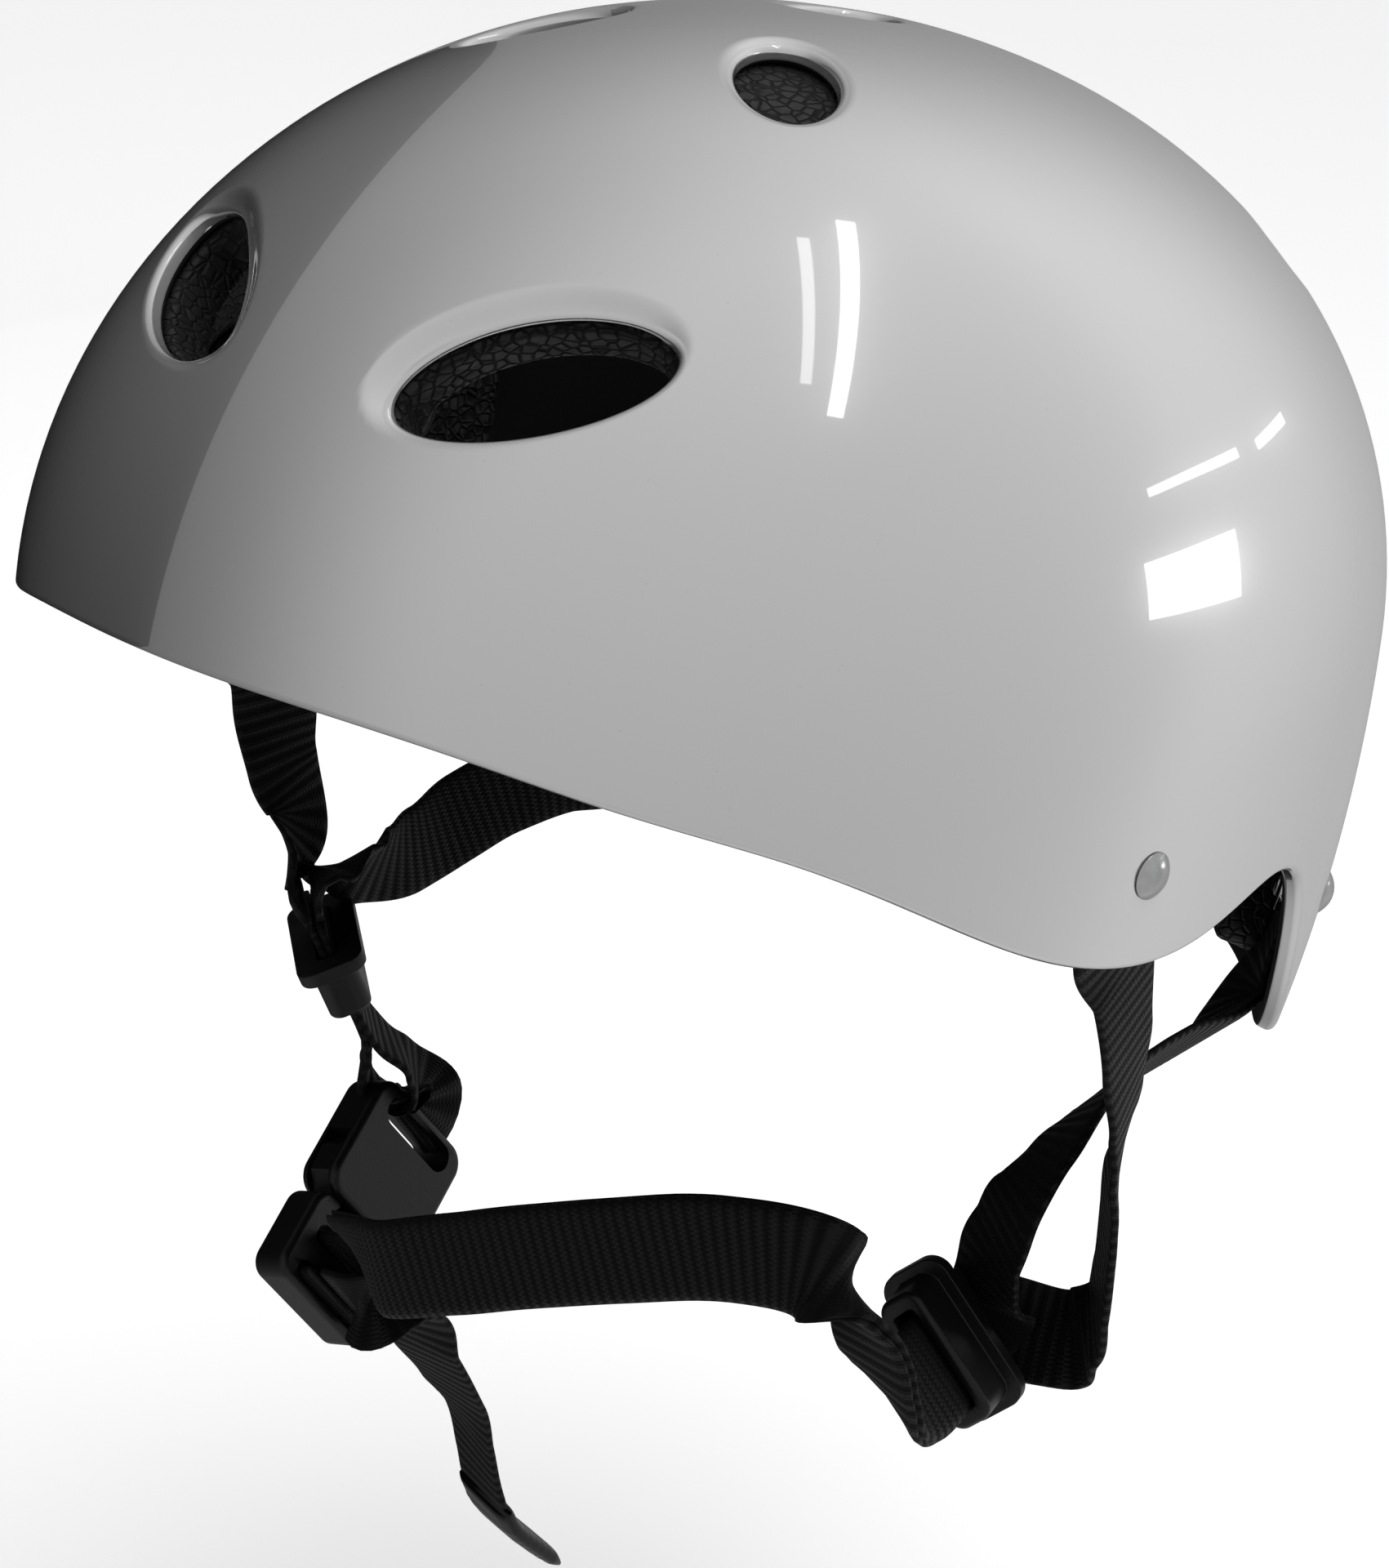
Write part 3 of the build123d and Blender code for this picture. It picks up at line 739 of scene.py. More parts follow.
def recess_depth(points, vent, margin, shift, depth, run):
    """How far the shell dips at points in the recess round a vent."""
    azimuth, rise, turn, half_l, half_h = vent
    centre, level, upward, _ = seat_axes(azimuth, rise, turn)
    _, flat, rise_dir, normal = seat_axes(azimuth, rise)
    centre = centre + flat * shift[0] + rise_dir * shift[1]
    away = points - centre
    x, y = away @ level, away @ upward
    near = (away @ normal) > -SAME_SIDE
    reach = np.hypot(x / (half_l + margin), y / (half_h + margin))
    size = np.hypot(x, y)
    outside = size * (1 - 1 / np.maximum(reach, 1e-6))
    slope = np.clip(-outside / run, 0, 1)
    return np.where(near, depth * slope * slope * (3 - 2 * slope), 0.0)


# Recesses: vent, margin round it, shift along and up, depth, run of the slope
SHELL_RECESSES = [
    (vent, 3.6, (-1.6 * math.copysign(1, vent[0]), 1.7), 2.3, 5.5) for vent in FRONT_VENTS
] + [(vent, 2.6, (0.0, 0.6), 1.5, 4.2) for vent in CROWN_VENTS + REAR_VENTS]


def shell_outer(plan):
    """Outer face of the shell with its vent recesses."""
    base = form_point(*from_plan(plan))
    dip = np.zeros(len(base))
    for recess in SHELL_RECESSES:
        dip = np.maximum(dip, recess_depth(base, *recess))
    return base - form_normal(base) * dip[:, None]


def shell_inner(plan):
    """Inner face of the shell."""
    return form_point(*from_plan(plan), WALL)


def build_shell():
    """Shell: one moulding with rounded rim and rounded, recessed vents."""
    vents = FRONT_VENTS + CROWN_VENTS + REAR_VENTS
    holes = [vent_loop(vent, SHELL_CORNER, 120) for vent in vents]
    rings = [
        vent_loop(vent, SHELL_CORNER + step, 110)
        for vent in vents for step in VENT_SUPPORTS
    ]
    rings += [rim_loop(SHELL_CORNER + step) for step in RIM_SUPPORTS]
    return domed_sheet(
        "shell_moulding", rim_loop(SHELL_CORNER), holes, rings, shell_outer, shell_inner,
        SHELL_CORNER, spacing=4.0, margin=3.5, steps=5,
    )


def paint_inside_shade(piece):
    """Gives the faces that look into the helmet a near-black matt material: painted shade for the shaded
    inside of the shell.
    """
    piece.data.materials.append(INNER_PAINTED_SHADE)
    centres = np.array([face.center[:] for face in piece.data.polygons]) / MM
    facing = np.array([face.normal[:] for face in piece.data.polygons])
    inward = (facing * form_normal(centres)).sum(axis=1) < INWARD
    piece.data.polygons.foreach_set("material_index", inward.astype(np.int32))


shell_piece = build_shell()
finish_piece(shell_piece, SHELL_FINISH, "helmet", "shell_gloss", "shell")
# Inward-looking shell faces get the near-black painted shade material.
paint_inside_shade(shell_piece)


# --- foam liner and pads ----------------------------------------------------------------------
PANEL_GAP = 5.0
LOOP_SPACING = 1.6            # between points along a panel's outline
BAND_SET_BACK = 1.6           # from a band's end to the direction it stops at
CROWN_PANEL = (66.0, 78.0)    # half width, half length of the oval panel
CROWN_PAD = (33.0, 43.0)
PAD_CHANNEL = (4.2, 0.75, 0.9)   # stitched channel: place from the edge, spread, depth
PAD_SWELL_RUN = 9.0
PAD_EDGE_SHARE = 0.42
PAD_SUPPORTS = (1.0, 2.0, 2.9, 3.5, 4.1, 4.7, 5.4, 6.4, 7.8)


def oval_reach(degrees, oval, grow=0.0):
    """Distance from the middle to a grown oval, seen from above."""
    angle = np.radians(degrees)
    across, along = np.sin(angle) / (oval[0] + grow), np.cos(angle) / (oval[1] + grow)
    return 1 / np.sqrt(across**2 + along**2)


def seen_from_above(degrees, reach):
    """Plan positions of places given by direction and distance seen from above, upper half."""
    angle = np.radians(degrees)
    x, y = reach * np.sin(angle), -reach * np.cos(angle)
    ends = np.where(y < 0, FRONT_REACH, REAR_REACH)
    z = CROWN_HEIGHT * np.sqrt(np.clip(1 - (x / HALF_WIDTH) ** 2 - (y / ends) ** 2, 0, 1))
    return to_plan(*angles_of(np.stack([x, y, z], axis=-1)))


def at_height(degrees, height):
    """Plan positions at a height for directions seen from above."""
    height = np.broadcast_to(height, np.shape(degrees))
    tall = np.where(height > 0, CROWN_HEIGHT, SKIRT_DEPTH)
    return to_plan(true_azimuth(np.asarray(degrees, float)), np.arcsin(height / tall))


def at_rim(degrees, lift):
    """Plan positions on the rim, raised, for directions seen from above."""
    azimuth = true_azimuth(np.asarray(degrees, float))
    return to_plan(azimuth, rise_at_rim(azimuth, lift))


def round_crown(degrees):
    """Plan positions just outside the crown panel."""
    return seen_from_above(degrees, oval_reach(degrees, CROWN_PANEL, PANEL_GAP))


def resample(loop, spacing):
    """Closed loop with even spacing."""
    closed = np.vstack([loop, loop[:1]])
    run = np.concatenate([[0], np.cumsum(np.linalg.norm(np.diff(closed, axis=0), axis=1))])
    count = int(run[-1] / spacing)
    at = np.arange(count) / count * run[-1]
    return np.stack([np.interp(at, run, closed[:, k]) for k in (0, 1)], axis=-1)


def round_corners(loop, spacing, passes):
    """Evenly spaced loop whose corners are eased by averaging."""
    loop = resample(loop, spacing)
    for _ in range(passes):
        loop = (np.roll(loop, 1, axis=0) + 2 * loop + np.roll(loop, -1, axis=0)) / 4
    return resample(loop, spacing)


def band_outline(from_az, to_az, low, high, passes=14):
    """Rounded outline between two directions and two edges; low and high give plan positions."""
    across = np.linspace(from_az + BAND_SET_BACK, to_az - BAND_SET_BACK, 80)
    bottom, top = low(across), high(across)
    share = np.linspace(0, 1, 30)[1:-1, None]
    right = bottom[-1] * (1 - share) + top[-1] * share
    left = top[0] * (1 - share) + bottom[0] * share
    return round_corners(np.vstack([bottom, right, top[::-1], left]), LOOP_SPACING, passes)


def drawn_in(plan, inset):
    """Points on the form at plan positions, drawn in by scaling its axes."""
    return form_point(*from_plan(plan), inset)


def build_foam(node, outline, vents=()):
    """One bonded foam panel with eased edges."""
    holes = [vent_loop(vent, 1.2, 80) for vent in vents]
    rings = [ring_offset(outline, 1.6, True)] + [ring_offset(hole, 1.4, False) for hole in holes]
    piece = domed_sheet(
        node + "_foam", outline, holes, rings,
        partial(drawn_in, inset=LINER_OUT), partial(drawn_in, inset=LINER_IN),
        1.6, spacing=4.0, margin=2.6, steps=3,
    )
    finish_piece(piece, FOAM_FINISH, "helmet", "eva_foam", node)
    return piece


def build_pad(node, outline):
    """Comfort pad: crowned in the middle, thin at its edge, with a stitched channel."""
    channel_at, channel_spread, channel_depth = PAD_CHANNEL

    def inner(plan):
        """Face towards the head."""
        edge = distance_to(plan, outline)
        swell = np.sin(np.clip(edge / PAD_SWELL_RUN, 0, 1) * math.pi / 2)
        swell = PAD_EDGE_SHARE + (1 - PAD_EDGE_SHARE) * swell
        channel = channel_depth * np.exp(-(((edge - channel_at) / channel_spread) ** 2))
        thick = (PAD_IN - PAD_OUT) * swell - channel
        spots = drawn_in(plan, 0)
        return spots - form_normal(spots) * (PAD_OUT + thick)[:, None]

    def outer(plan):
        """Face against the foam."""
        spots = drawn_in(plan, 0)
        return spots - form_normal(spots) * PAD_OUT

    rings = [ring_offset(outline, step, True) for step in PAD_SUPPORTS]
    piece = domed_sheet(
        node + "_cover", outline, [], rings, outer, inner, 1.0, spacing=2.6, margin=8.6, steps=3,
    )
    finish_piece(piece, PAD_FINISH, "helmet", "pad_fabric", node)
    return piece


def build_liner():
    """Five foam panels and five comfort pads."""
    around = np.arange(0, 360, 2.0)
    crown = seen_from_above(around, oval_reach(around, CROWN_PANEL))
    build_foam("liner_crown", resample(crown, LOOP_SPACING))
    rim_edge, side_edge = partial(at_rim, lift=7), partial(at_height, height=0.5)
    build_foam("liner_front", band_outline(-52, 52, rim_edge, round_crown), FRONT_VENTS)
    build_foam("liner_left", band_outline(52, 117, side_edge, round_crown))
    build_foam("liner_right", band_outline(-117, -52, side_edge, round_crown))
    build_foam("liner_rear", band_outline(145, 215, rim_edge, round_crown), REAR_VENTS)
    for node, from_az, to_az, low, high in (
        ("brow_pad", -42, 42, partial(at_rim, lift=12), 45),
        ("side_pad_left", 62, 108, partial(at_height, height=5), 43),
        ("side_pad_right", -108, -62, partial(at_height, height=5), 43),
        ("nape_pad", 150, 210, partial(at_height, height=-65), -17),
    ):
        top = partial(at_height, height=high)
        build_pad(node, band_outline(from_az, to_az, low, top, passes=24))
    crown = seen_from_above(around, oval_reach(around, CROWN_PAD))
    build_pad("crown_pad", resample(crown, LOOP_SPACING))


build_liner()


# --- rivets -----------------------------------------------------------------------------------
# Rivet from the top of its head to the closed end: radius, height
RIVET_PROFILE = [
    (0.0, 2.1), (0.8, 2.05), (1.6, 1.88), (2.3, 1.6), (3.0, 1.2), (3.6, 0.78), (4.0, 0.42), (4.18, 0.22),
    (4.2, 0.05), (4.1, -0.02), (3.0, -0.02), (2.4, -0.02), (2.4, -8.2), (3.3, -8.25), (3.2, -8.7),
    (2.3, -9.0), (0.0, -9.1),
]


def lathe(name, profile, seats, turns=48):
    """Turned piece repeated at each seat: profile is (radius, height) along the seat's normal."""
    points, faces = [], []
    for centre, level, upward, normal in seats:
        start = len(points)
        for k, (radius, height) in enumerate(profile):
            if radius == 0:
                points.append(centre + normal * height)
                continue
            for i in range(turns):
                angle = 2 * math.pi * i / turns
                spoke = level * math.cos(angle) + upward * math.sin(angle)
                points.append(centre + normal * height + spoke * radius)
        first = start + 1
        rings = len(profile) - 2
        faces += [(start, first + i, first + (i + 1) % turns) for i in range(turns)]
        for k in range(rings - 1):
            upper, lower = first + k * turns, first + (k + 1) * turns
            faces += [
                (upper + i, lower + i, lower + (i + 1) % turns, upper + (i + 1) % turns)
                for i in range(turns)
            ]
        last = first + (rings - 1) * turns
        end = last + turns
        faces += [(last + i, end, last + (i + 1) % turns) for i in range(turns)]
    return make_piece(name, points, faces)


def build_rivets():
    """Domed rivets at the four strap anchors."""
    for name, anchors, node in (
        ("rivet_domes_front", FRONT_ANCHORS, "rivets_front"),
        ("rivet_domes_rear", REAR_ANCHORS, "rivets_rear"),
    ):
        piece = lathe(name, RIVET_PROFILE, [seat_axes(*anchor) for anchor in anchors])
        finish_piece(piece, STEEL_FINISH, "helmet", "rivet_steel", node)


build_rivets()


# --- webbing ----------------------------------------------------------------------------------
WEB_WIDTH = 19.0
WEB_THICK = 1.5
ROW_STEP = 0.65               # strap between two rows of points
PLY_GROOVE = 0.9              # groove between the two plies of a doubled strap
RIB_HEIGHT = 0.16
SWAY = 0.18                   # slow sideways wander of the weave


def strap_section(thick, rib, doubled):
    """Closed outline of a strap: (across, through), with round selvages."""
    half_w, half_t = WEB_WIDTH / 2, thick / 2
    columns = np.linspace(-1, 1, 13)
    flat = np.clip((1 - np.abs(columns)) / 0.16, 0, 1)
    upper = [(c * (half_w - half_t * 0.7), half_t + rib * f) for c, f in zip(columns, flat)]
    edge = [(half_w - half_t * 0.18, half_t * 0.6), (half_w, 0.0), (half_w - half_t * 0.18, -half_t * 0.6)]
    if doubled:
        edge = [
            (half_w, half_t * 0.6), (half_w, half_t * 0.3), (half_w - PLY_GROOVE, 0.0),
            (half_w, -half_t * 0.3), (half_w, -half_t * 0.6),
        ]
    lower = [(x, -y) for x, y in reversed(upper)]
    return upper + edge + lower + [(-x, -y) for x, y in edge]


def curve_point(spots, times, t):
    """Point at time t on a smooth curve through four timed spots, between the middle two."""
    while len(spots) > 2:
        reach = len(times) - len(spots) + 1
        spots = [
            first * (times[i + reach] - t) / (times[i + reach] - times[i])
            + second * (t - times[i]) / (times[i + reach] - times[i])
            for i, (first, second) in enumerate(zip(spots, spots[1:]))
        ]
    first, second = spots
    return first * (times[2] - t) / (times[2] - times[1]) + second * (t - times[1]) / (times[2] - times[1])


def strap_path(stations):
    """Even samples along the strap: positions, tangents, width directions and run."""
    places = np.array([s[0] for s in stations], float)
    sides = unit(np.array([s[1] for s in stations], float))
    knots = np.concatenate([[0], np.cumsum(np.sqrt(np.linalg.norm(np.diff(places, axis=0), axis=1)))])
    before = 2 * places[0] - places[1]
    after = 2 * places[-1] - places[-2]
    padded = np.vstack([before, places, after])
    times = np.concatenate([[2 * knots[0] - knots[1]], knots, [2 * knots[-1] - knots[-2]]])
    fine_p, fine_s = [], []
    for i in range(len(places) - 1):
        span = times[i:i + 4]
        for share in np.linspace(0, 1, 60, endpoint=False):
            fine_p.append(curve_point(list(padded[i:i + 4]), span, span[1] + (span[2] - span[1]) * share))
            eased = share * share * (3 - 2 * share)
            fine_s.append(sides[i] * (1 - eased) + sides[i + 1] * eased)
    fine_p, fine_s = np.array(fine_p + [places[-1]]), np.array(fine_s + [sides[-1]])
    run = np.concatenate([[0], np.cumsum(np.linalg.norm(np.diff(fine_p, axis=0), axis=1))])
    at = np.linspace(0, run[-1], max(int(run[-1] / ROW_STEP), 4))
    spots = np.stack([np.interp(at, run, fine_p[:, k]) for k in range(3)], axis=-1)
    width = np.stack([np.interp(at, run, fine_s[:, k]) for k in range(3)], axis=-1)
    tangent = unit(np.gradient(spots, axis=0))
    width = unit(width - tangent * (width * tangent).sum(1, keepdims=True))
    return spots, tangent, width, at


def tube_faces(rows, size):
    """Faces of a tube made of rows of points, closed at both ends."""
    faces = []
    for i in range(rows - 1):
        low, high = i * size, (i + 1) * size
        faces += [(low + k, high + k, high + (k + 1) % size, low + (k + 1) % size) for k in range(size)]
    faces.append(tuple(range(size)))
    faces.append(tuple(range((rows - 1) * size, rows * size)))
    return faces


def build_strap(name, stations, thick=WEB_THICK, doubled=False, phase=0.0):
    """Ribbed webbing through the stations, with its own plan for the weave."""
    spots, tangent, side, at = strap_path(stations)
    face = np.cross(side, tangent)
    points, plan = [], []
    for i, run in enumerate(at):
        wave = 0.5 + 0.5 * math.cos(2 * math.pi * (run + phase) / RIB_PITCH)
        sway = SWAY * noise.noise(Vector((run * 0.06 + phase, phase, 0)))
        for x, y in strap_section(thick - 0.12, RIB_HEIGHT * wave ** 0.8, doubled):
            points.append(spots[i] + side[i] * (x + sway) + face[i] * y)
            plan.append((x, run + phase))
    piece = make_piece(name, points, tube_faces(len(at), len(points) // len(at)))
    layer = piece.data.uv_layers.new(name="strap_plan")
    corners = np.empty(len(piece.data.loops), int)
    piece.data.loops.foreach_get("vertex_index", corners)
    layer.data.foreach_set("uv", np.array(plan)[corners].ravel())
    return piece


def tab_stations(anchor, inner_gap=1.2):
    """Two stations of the flat tab behind a rivet."""
    azimuth, rise = anchor
    centre, level, upward, normal = seat_axes(azimuth, rise)
    middle = centre - normal * (WALL + inner_gap + WEB_THICK / 2)
    return [(middle + upward * 8, level), (middle - upward * 12, level)]


# Left divider and its axes
LEFT_DIVIDER = np.array([76.0, -6.0, -119.0])
LEFT_ACROSS = unit(np.array([0.655, 0.164, -0.743]))
LEFT_ALONG = unit(np.array([0.300, -0.953, 0.054]))
LEFT_FACE = np.cross(LEFT_ACROSS, LEFT_ALONG)
# Right divider and its axes
RIGHT_DIVIDER = np.array([-84.0, -2.0, -97.0])
RIGHT_ALONG = unit(np.array([0.210, 0.370, -0.905]))
RIGHT_ACROSS = np.array([0.769, -0.634, -0.080])
RIGHT_ACROSS = unit(RIGHT_ACROSS - RIGHT_ALONG * RIGHT_ACROSS.dot(RIGHT_ALONG))
RIGHT_FACE = np.cross(RIGHT_ACROSS, RIGHT_ALONG)
# Buckle and its axes
BUCKLE = np.array([-70.0, -6.0, -147.0])
BUCKLE_UP = unit(np.array([-0.202, 0.806, 0.556]))
BUCKLE_ACROSS = np.array([-0.234, -0.591, 0.772])
BUCKLE_ACROSS = unit(BUCKLE_ACROSS - BUCKLE_UP * BUCKLE_ACROSS.dot(BUCKLE_UP))
BUCKLE_FACE = np.cross(BUCKLE_UP, BUCKLE_ACROSS)


def left_point(along, face=0.0):
    """Place on the left divider's axes."""
    return LEFT_DIVIDER + LEFT_ALONG * along + LEFT_FACE * face


def right_point(along, face=0.0):
    """Place on the right divider's axes."""
    return RIGHT_DIVIDER + RIGHT_ALONG * along + RIGHT_FACE * face


def buckle_point(up, across=0.0, face=0.0):
    """Place on the buckle's axes."""
    return BUCKLE + BUCKLE_UP * up + BUCKLE_ACROSS * across + BUCKLE_FACE * face


def harness_routes():
    """Stations of each strap that rides with the helmet."""
    routes = {
        "strap_front_left": tab_stations(FRONT_ANCHORS[0]) + [
            ((102.5, -4.5, -37), (-0.1, 1, 0)), ((101, 2.2, -53.5), (-0.2, 1, 0)),
            ((99.5, 6.7, -67), (-0.35, 0.93, 0)), ((98.3, 7.8, -76), (-0.5, 0.85, 0)),
            ((97, 9.3, -85), (-0.64, 0.77, 0)), ((96, 11.5, -94), (-0.64, 0.77, 0)),
            ((94, 15, -107), (-0.64, 0.77, 0)), ((91.5, 18, -116.5), (-0.65, 0.7, 0.2)),
            ((86.5, 19, -122), (-0.75, 0.35, 0.45)), (left_point(-18, 2.4), -LEFT_ACROSS),
            (left_point(-14.2, 1.3), -LEFT_ACROSS),
        ],
        "strap_rear_left": tab_stations(REAR_ANCHORS[0]) + [
            ((77, 80, -74), (-0.75, 0.5, -0.3)), ((80, 68, -76), (-0.7, 0.2, -0.65)),
            ((81, 47, -75), (-0.62, 0, -0.78)), ((81.7, 33, -75.5), (-0.62, 0, -0.78)),
            ((82, 22, -78.5), (-0.7, 0.1, -0.7)),
            ((80.8, 14, -85), (-0.8, 0.3, -0.5)), ((78.5, 8.5, -93), (-0.86, 0.4, -0.3)),
            ((75.5, 8.2, -102), (-0.86, 0.45, -0.15)), ((73.3, 9.4, -110), (-0.86, 0.3, 0.2)),
            (left_point(-17, -2.6), -LEFT_ACROSS), (left_point(-14.2, -1.4), -LEFT_ACROSS),
        ],
        "strap_front_right": tab_stations(FRONT_ANCHORS[1]) + [
            ((-102.5, -6, -38), (0.2, 1, 0)), ((-101, -5, -47), (0.25, 1, 0)),
            ((-99, -4.2, -58.5), (0, 1, 0)), ((-96, -2.5, -69), (-0.2, 1, 0)),
            (right_point(-19, -1.8), -RIGHT_ACROSS),
            (right_point(-14.5, -1.1), -RIGHT_ACROSS),
        ],
        "strap_rear_right": tab_stations(REAR_ANCHORS[1]) + [
            ((-77.5, 80, -71), (0.4, 0.8, 0.3)), ((-83, 66, -72), (0.1, 0.5, 0.8)),
            ((-87, 52, -74), (-0.2, 0.2, 0.95)), ((-88, 38, -77.3), (-0.3, 0, 0.95)),
            ((-87, 23, -80.5), (-0.1, 0, 1)), ((-86.3, 10, -80.5), (0.3, -0.2, 0.9)),
            ((-86, 2, -78.5), (0.6, -0.4, 0.6)), (right_point(-19, 3.5), RIGHT_ACROSS),
            (right_point(-14.5, 1.6), RIGHT_ACROSS),
        ],
    }
    for node, side, bulge in (("buckle_strap_outer", 1, 2.5), ("buckle_strap_inner", -1, 4.5)):
        near_end = buckle_point(27.0, 0, 1.8 * side)
        middle = (right_point(17) + near_end) / 2 + RIGHT_FACE * side * bulge
        routes[node] = [
            (right_point(-12, 0.85 * side), RIGHT_ACROSS), (right_point(17, 0.85 * side), RIGHT_ACROSS),
            (middle, RIGHT_ACROSS * 0.6 + BUCKLE_ACROSS * 0.4), (near_end, BUCKLE_ACROSS),
            (buckle_point(21.5, 0, 1.0 * side), BUCKLE_ACROSS),
        ]
    return routes


# Other routes: (place, direction across the strap) from one end to the other
CHIN_ROUTE = [
    (left_point(-14), LEFT_ACROSS), (left_point(22), LEFT_ACROSS),
    ((82.5, -35, -110), (0.85, 0.1, -0.5)), ((80.5, -40, -98), (0.8, 0, -0.5)),
    ((75, -44, -90.5), (0.6, 0, -0.8)), ((57, -47, -92), (0.15, 0, -1)),
    ((22, -49, -106), (0.12, 0, -1)), ((-5, -49, -118.6), (0.15, 0, -1)),
    ((-25, -46.5, -128.5), (0.2, 0.1, -1)), (buckle_point(-15, 9, 17), -BUCKLE_ACROSS),
]
WRAP_ROUTE = [(buckle_point(up, 0, face), BUCKLE_ACROSS) for up, face in (
    (-12.5, 13), (-12.5, 6), (-12.5, -4.5), (-14.5, -7.2), (-19, -7.2), (-21, -4.5), (-21, 6.6),
)]
TAIL_ROUTE = [
    (buckle_point(-21.2, 0, 9.4), BUCKLE_ACROSS), (buckle_point(-21.6, -0.5, 13), BUCKLE_ACROSS),
    ((-51, -11, -161.5), (-0.9, -0.25, -0.1)), ((-52, -4, -172.4), (-0.98, 0, -0.1)),
    ((-52.5, 5.7, -185.8), (-0.98, 0.15, -0.1)), ((-53, 12.6, -197.4), (-0.93, 0.38, -0.1)),
    ((-53, 16, -207.7), (-0.93, 0.37, -0.1)), ((-52.5, 17.8, -214.5), (-0.94, 0.34, -0.1)),
]
TIP_ROUTE = [
    ((-52.3, 18.1, -215.6), (-0.94, 0.34, -0.1)), ((-51.5, 21.5, -222), (-0.94, 0.34, -0.1)),
    ((-49.5, 33, -233.5), (-0.94, 0.34, -0.1)),
]


def build_harness():
    """All webbing: straps on the helmet, the chin strap and what rides with the plug."""
    for number, (node, stations) in enumerate(harness_routes().items()):
        piece = build_strap(node + "_web", stations, phase=number * 7.3)
        finish_piece(piece, WEBBING_FINISH, "helmet", "webbing", node)
    chin = build_strap("chin_strap_web", CHIN_ROUTE, thick=2 * WEB_THICK + 0.2, doubled=True, phase=3.1)
    finish_piece(chin, WEBBING_FINISH, None, "webbing", "chin_strap")
    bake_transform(chin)
    wrap = build_strap("strap_wrap_web", WRAP_ROUTE, phase=1.3)
    finish_piece(wrap, WEBBING_FINISH, "plug", "webbing", "strap_wrap")
    tail = build_strap("strap_tail_web", TAIL_ROUTE, phase=5.9)
    finish_piece(tail, WEBBING_FINISH, "plug", "webbing", "strap_tail")


TIP_HALF_WIDTH = 10.0
TIP_HALF_THICK = 2.0
TIP_HEEL = 4                  # plain length before the grip ridges
TIP_NOSE = 5                  # plain length after them
TIP_RIDGE = 0.16
TIP_RIDGE_PITCH = 2.4


def build_tip():
    """Moulded end that clamps the strap's tail: thicker, with a rounded nose and grip ridges."""
    spots, tangent, side, at = strap_path(TIP_ROUTE)
    face = np.cross(side, tangent)
    points, size = [], 28
    for i, run in enumerate(at):
        left = at[-1] - run
        nose = min(1.0, math.sqrt(max(left, 0.02) / 3.5))
        heel = min(1.0, 0.72 + run / 4)
        gripped = TIP_HEEL < run < at[-1] - TIP_NOSE
        ridge = TIP_RIDGE * max(0.0, math.sin(2 * math.pi * run / TIP_RIDGE_PITCH)) if gripped else 0.0
        half_w = TIP_HALF_WIDTH * (0.86 + 0.14 * nose)
        half_t = TIP_HALF_THICK * heel * nose - TIP_RIDGE + ridge
        for k in range(size):
            angle = 2 * math.pi * k / size
            cos_a, sin_a = math.cos(angle), math.sin(angle)
            x = half_w * math.copysign(abs(cos_a) ** 0.45, cos_a)
            y = half_t * math.copysign(abs(sin_a) ** 0.55, sin_a)
            points.append(spots[i] + side[i] * x + face[i] * y)
    piece = make_piece("tail_tip_moulding", points, tube_faces(len(at), size))
    finish_piece(piece, TIP_FINISH, "plug", "tip_plastic", "tail_tip")


build_harness()
build_tip()


# --- moulded hardware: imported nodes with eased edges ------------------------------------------
def ease_edges(node, width, material):
    """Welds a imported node's corners, rounds its edges and gives it a finish."""
    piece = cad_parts[node]
    weld = piece.modifiers.new("weld", "WELD")
    weld.merge_threshold = 0.00001
    bevel = piece.modifiers.new("edges", "BEVEL")
    bevel.width = width * MM
    bevel.segments = 2
    bevel.limit_method = "ANGLE"
    bevel.angle_limit = math.radians(40)
    bevel.harden_normals = False
    shade = piece.modifiers.new("shade", "WEIGHTED_NORMAL")
    shade.keep_sharp = False
    piece.data.materials.clear()
    piece.data.materials.append(material)


for hardware_node in (
    "divider_left", "divider_right", "buckle_socket", "buckle_plug", "prong_upper", "prong_lower",
):
    ease_edges(hardware_node, 0.3, BUCKLE_FINISH)
ease_edges("rivet_washers", 0.15, STEEL_FINISH)


# --- stage, lights and camera -----------------------------------------------------------------
BACKDROP_SIDE = (-0.6, 0.72, -0.34)      # from the helmet to the backdrop


def build_floor():
    """Plain pale floor just below the strap's tip."""
    bpy.ops.mesh.primitive_plane_add(size=14, location=(0, 0, cad_box[0].z - 0.03))
    floor = bpy.context.object
    floor.name = "floor"
    material, tree, shader, place = start_material(
        "pale_floor", Roughness=0.9, Emission_Color=grey(1.0), Emission_Strength=0.64,
    )
    tone = mix_colours(tree, noise_node(tree, place, 3.0), grey(0.80), grey(0.82))
    wire(tree, tone, shader.inputs["Base Color"])
    floor.data.materials.append(material)
    floor.visible_diffuse = False
    floor.visible_glossy = False


def aim(item, direction, distance):
    """Places an item at a distance in a direction from the helmet, facing it."""
    away = Vector(direction).normalized()
    item.location = away * distance
    item.rotation_mode = "QUATERNION"
    item.rotation_quaternion = away.to_track_quat("Z", "Y")


def add_lamp(name, width, height, power):
    """Rectangular lamp that the camera doesn't see."""
    data = bpy.data.lights.new(name, "AREA")
    data.shape = "RECTANGLE"
    data.size, data.size_y = width, height
    data.energy = power
    item = bpy.data.objects.new(name, data)
    bpy.context.scene.collection.objects.link(item)
    item.visible_camera = False
    return item


def add_softbox(name, direction, distance, side, power):
    """Square soft lamp that lights the helmet and stays out of its reflections."""
    item = add_lamp(name, side, side, power)
    aim(item, direction, distance)
    item.visible_glossy = False


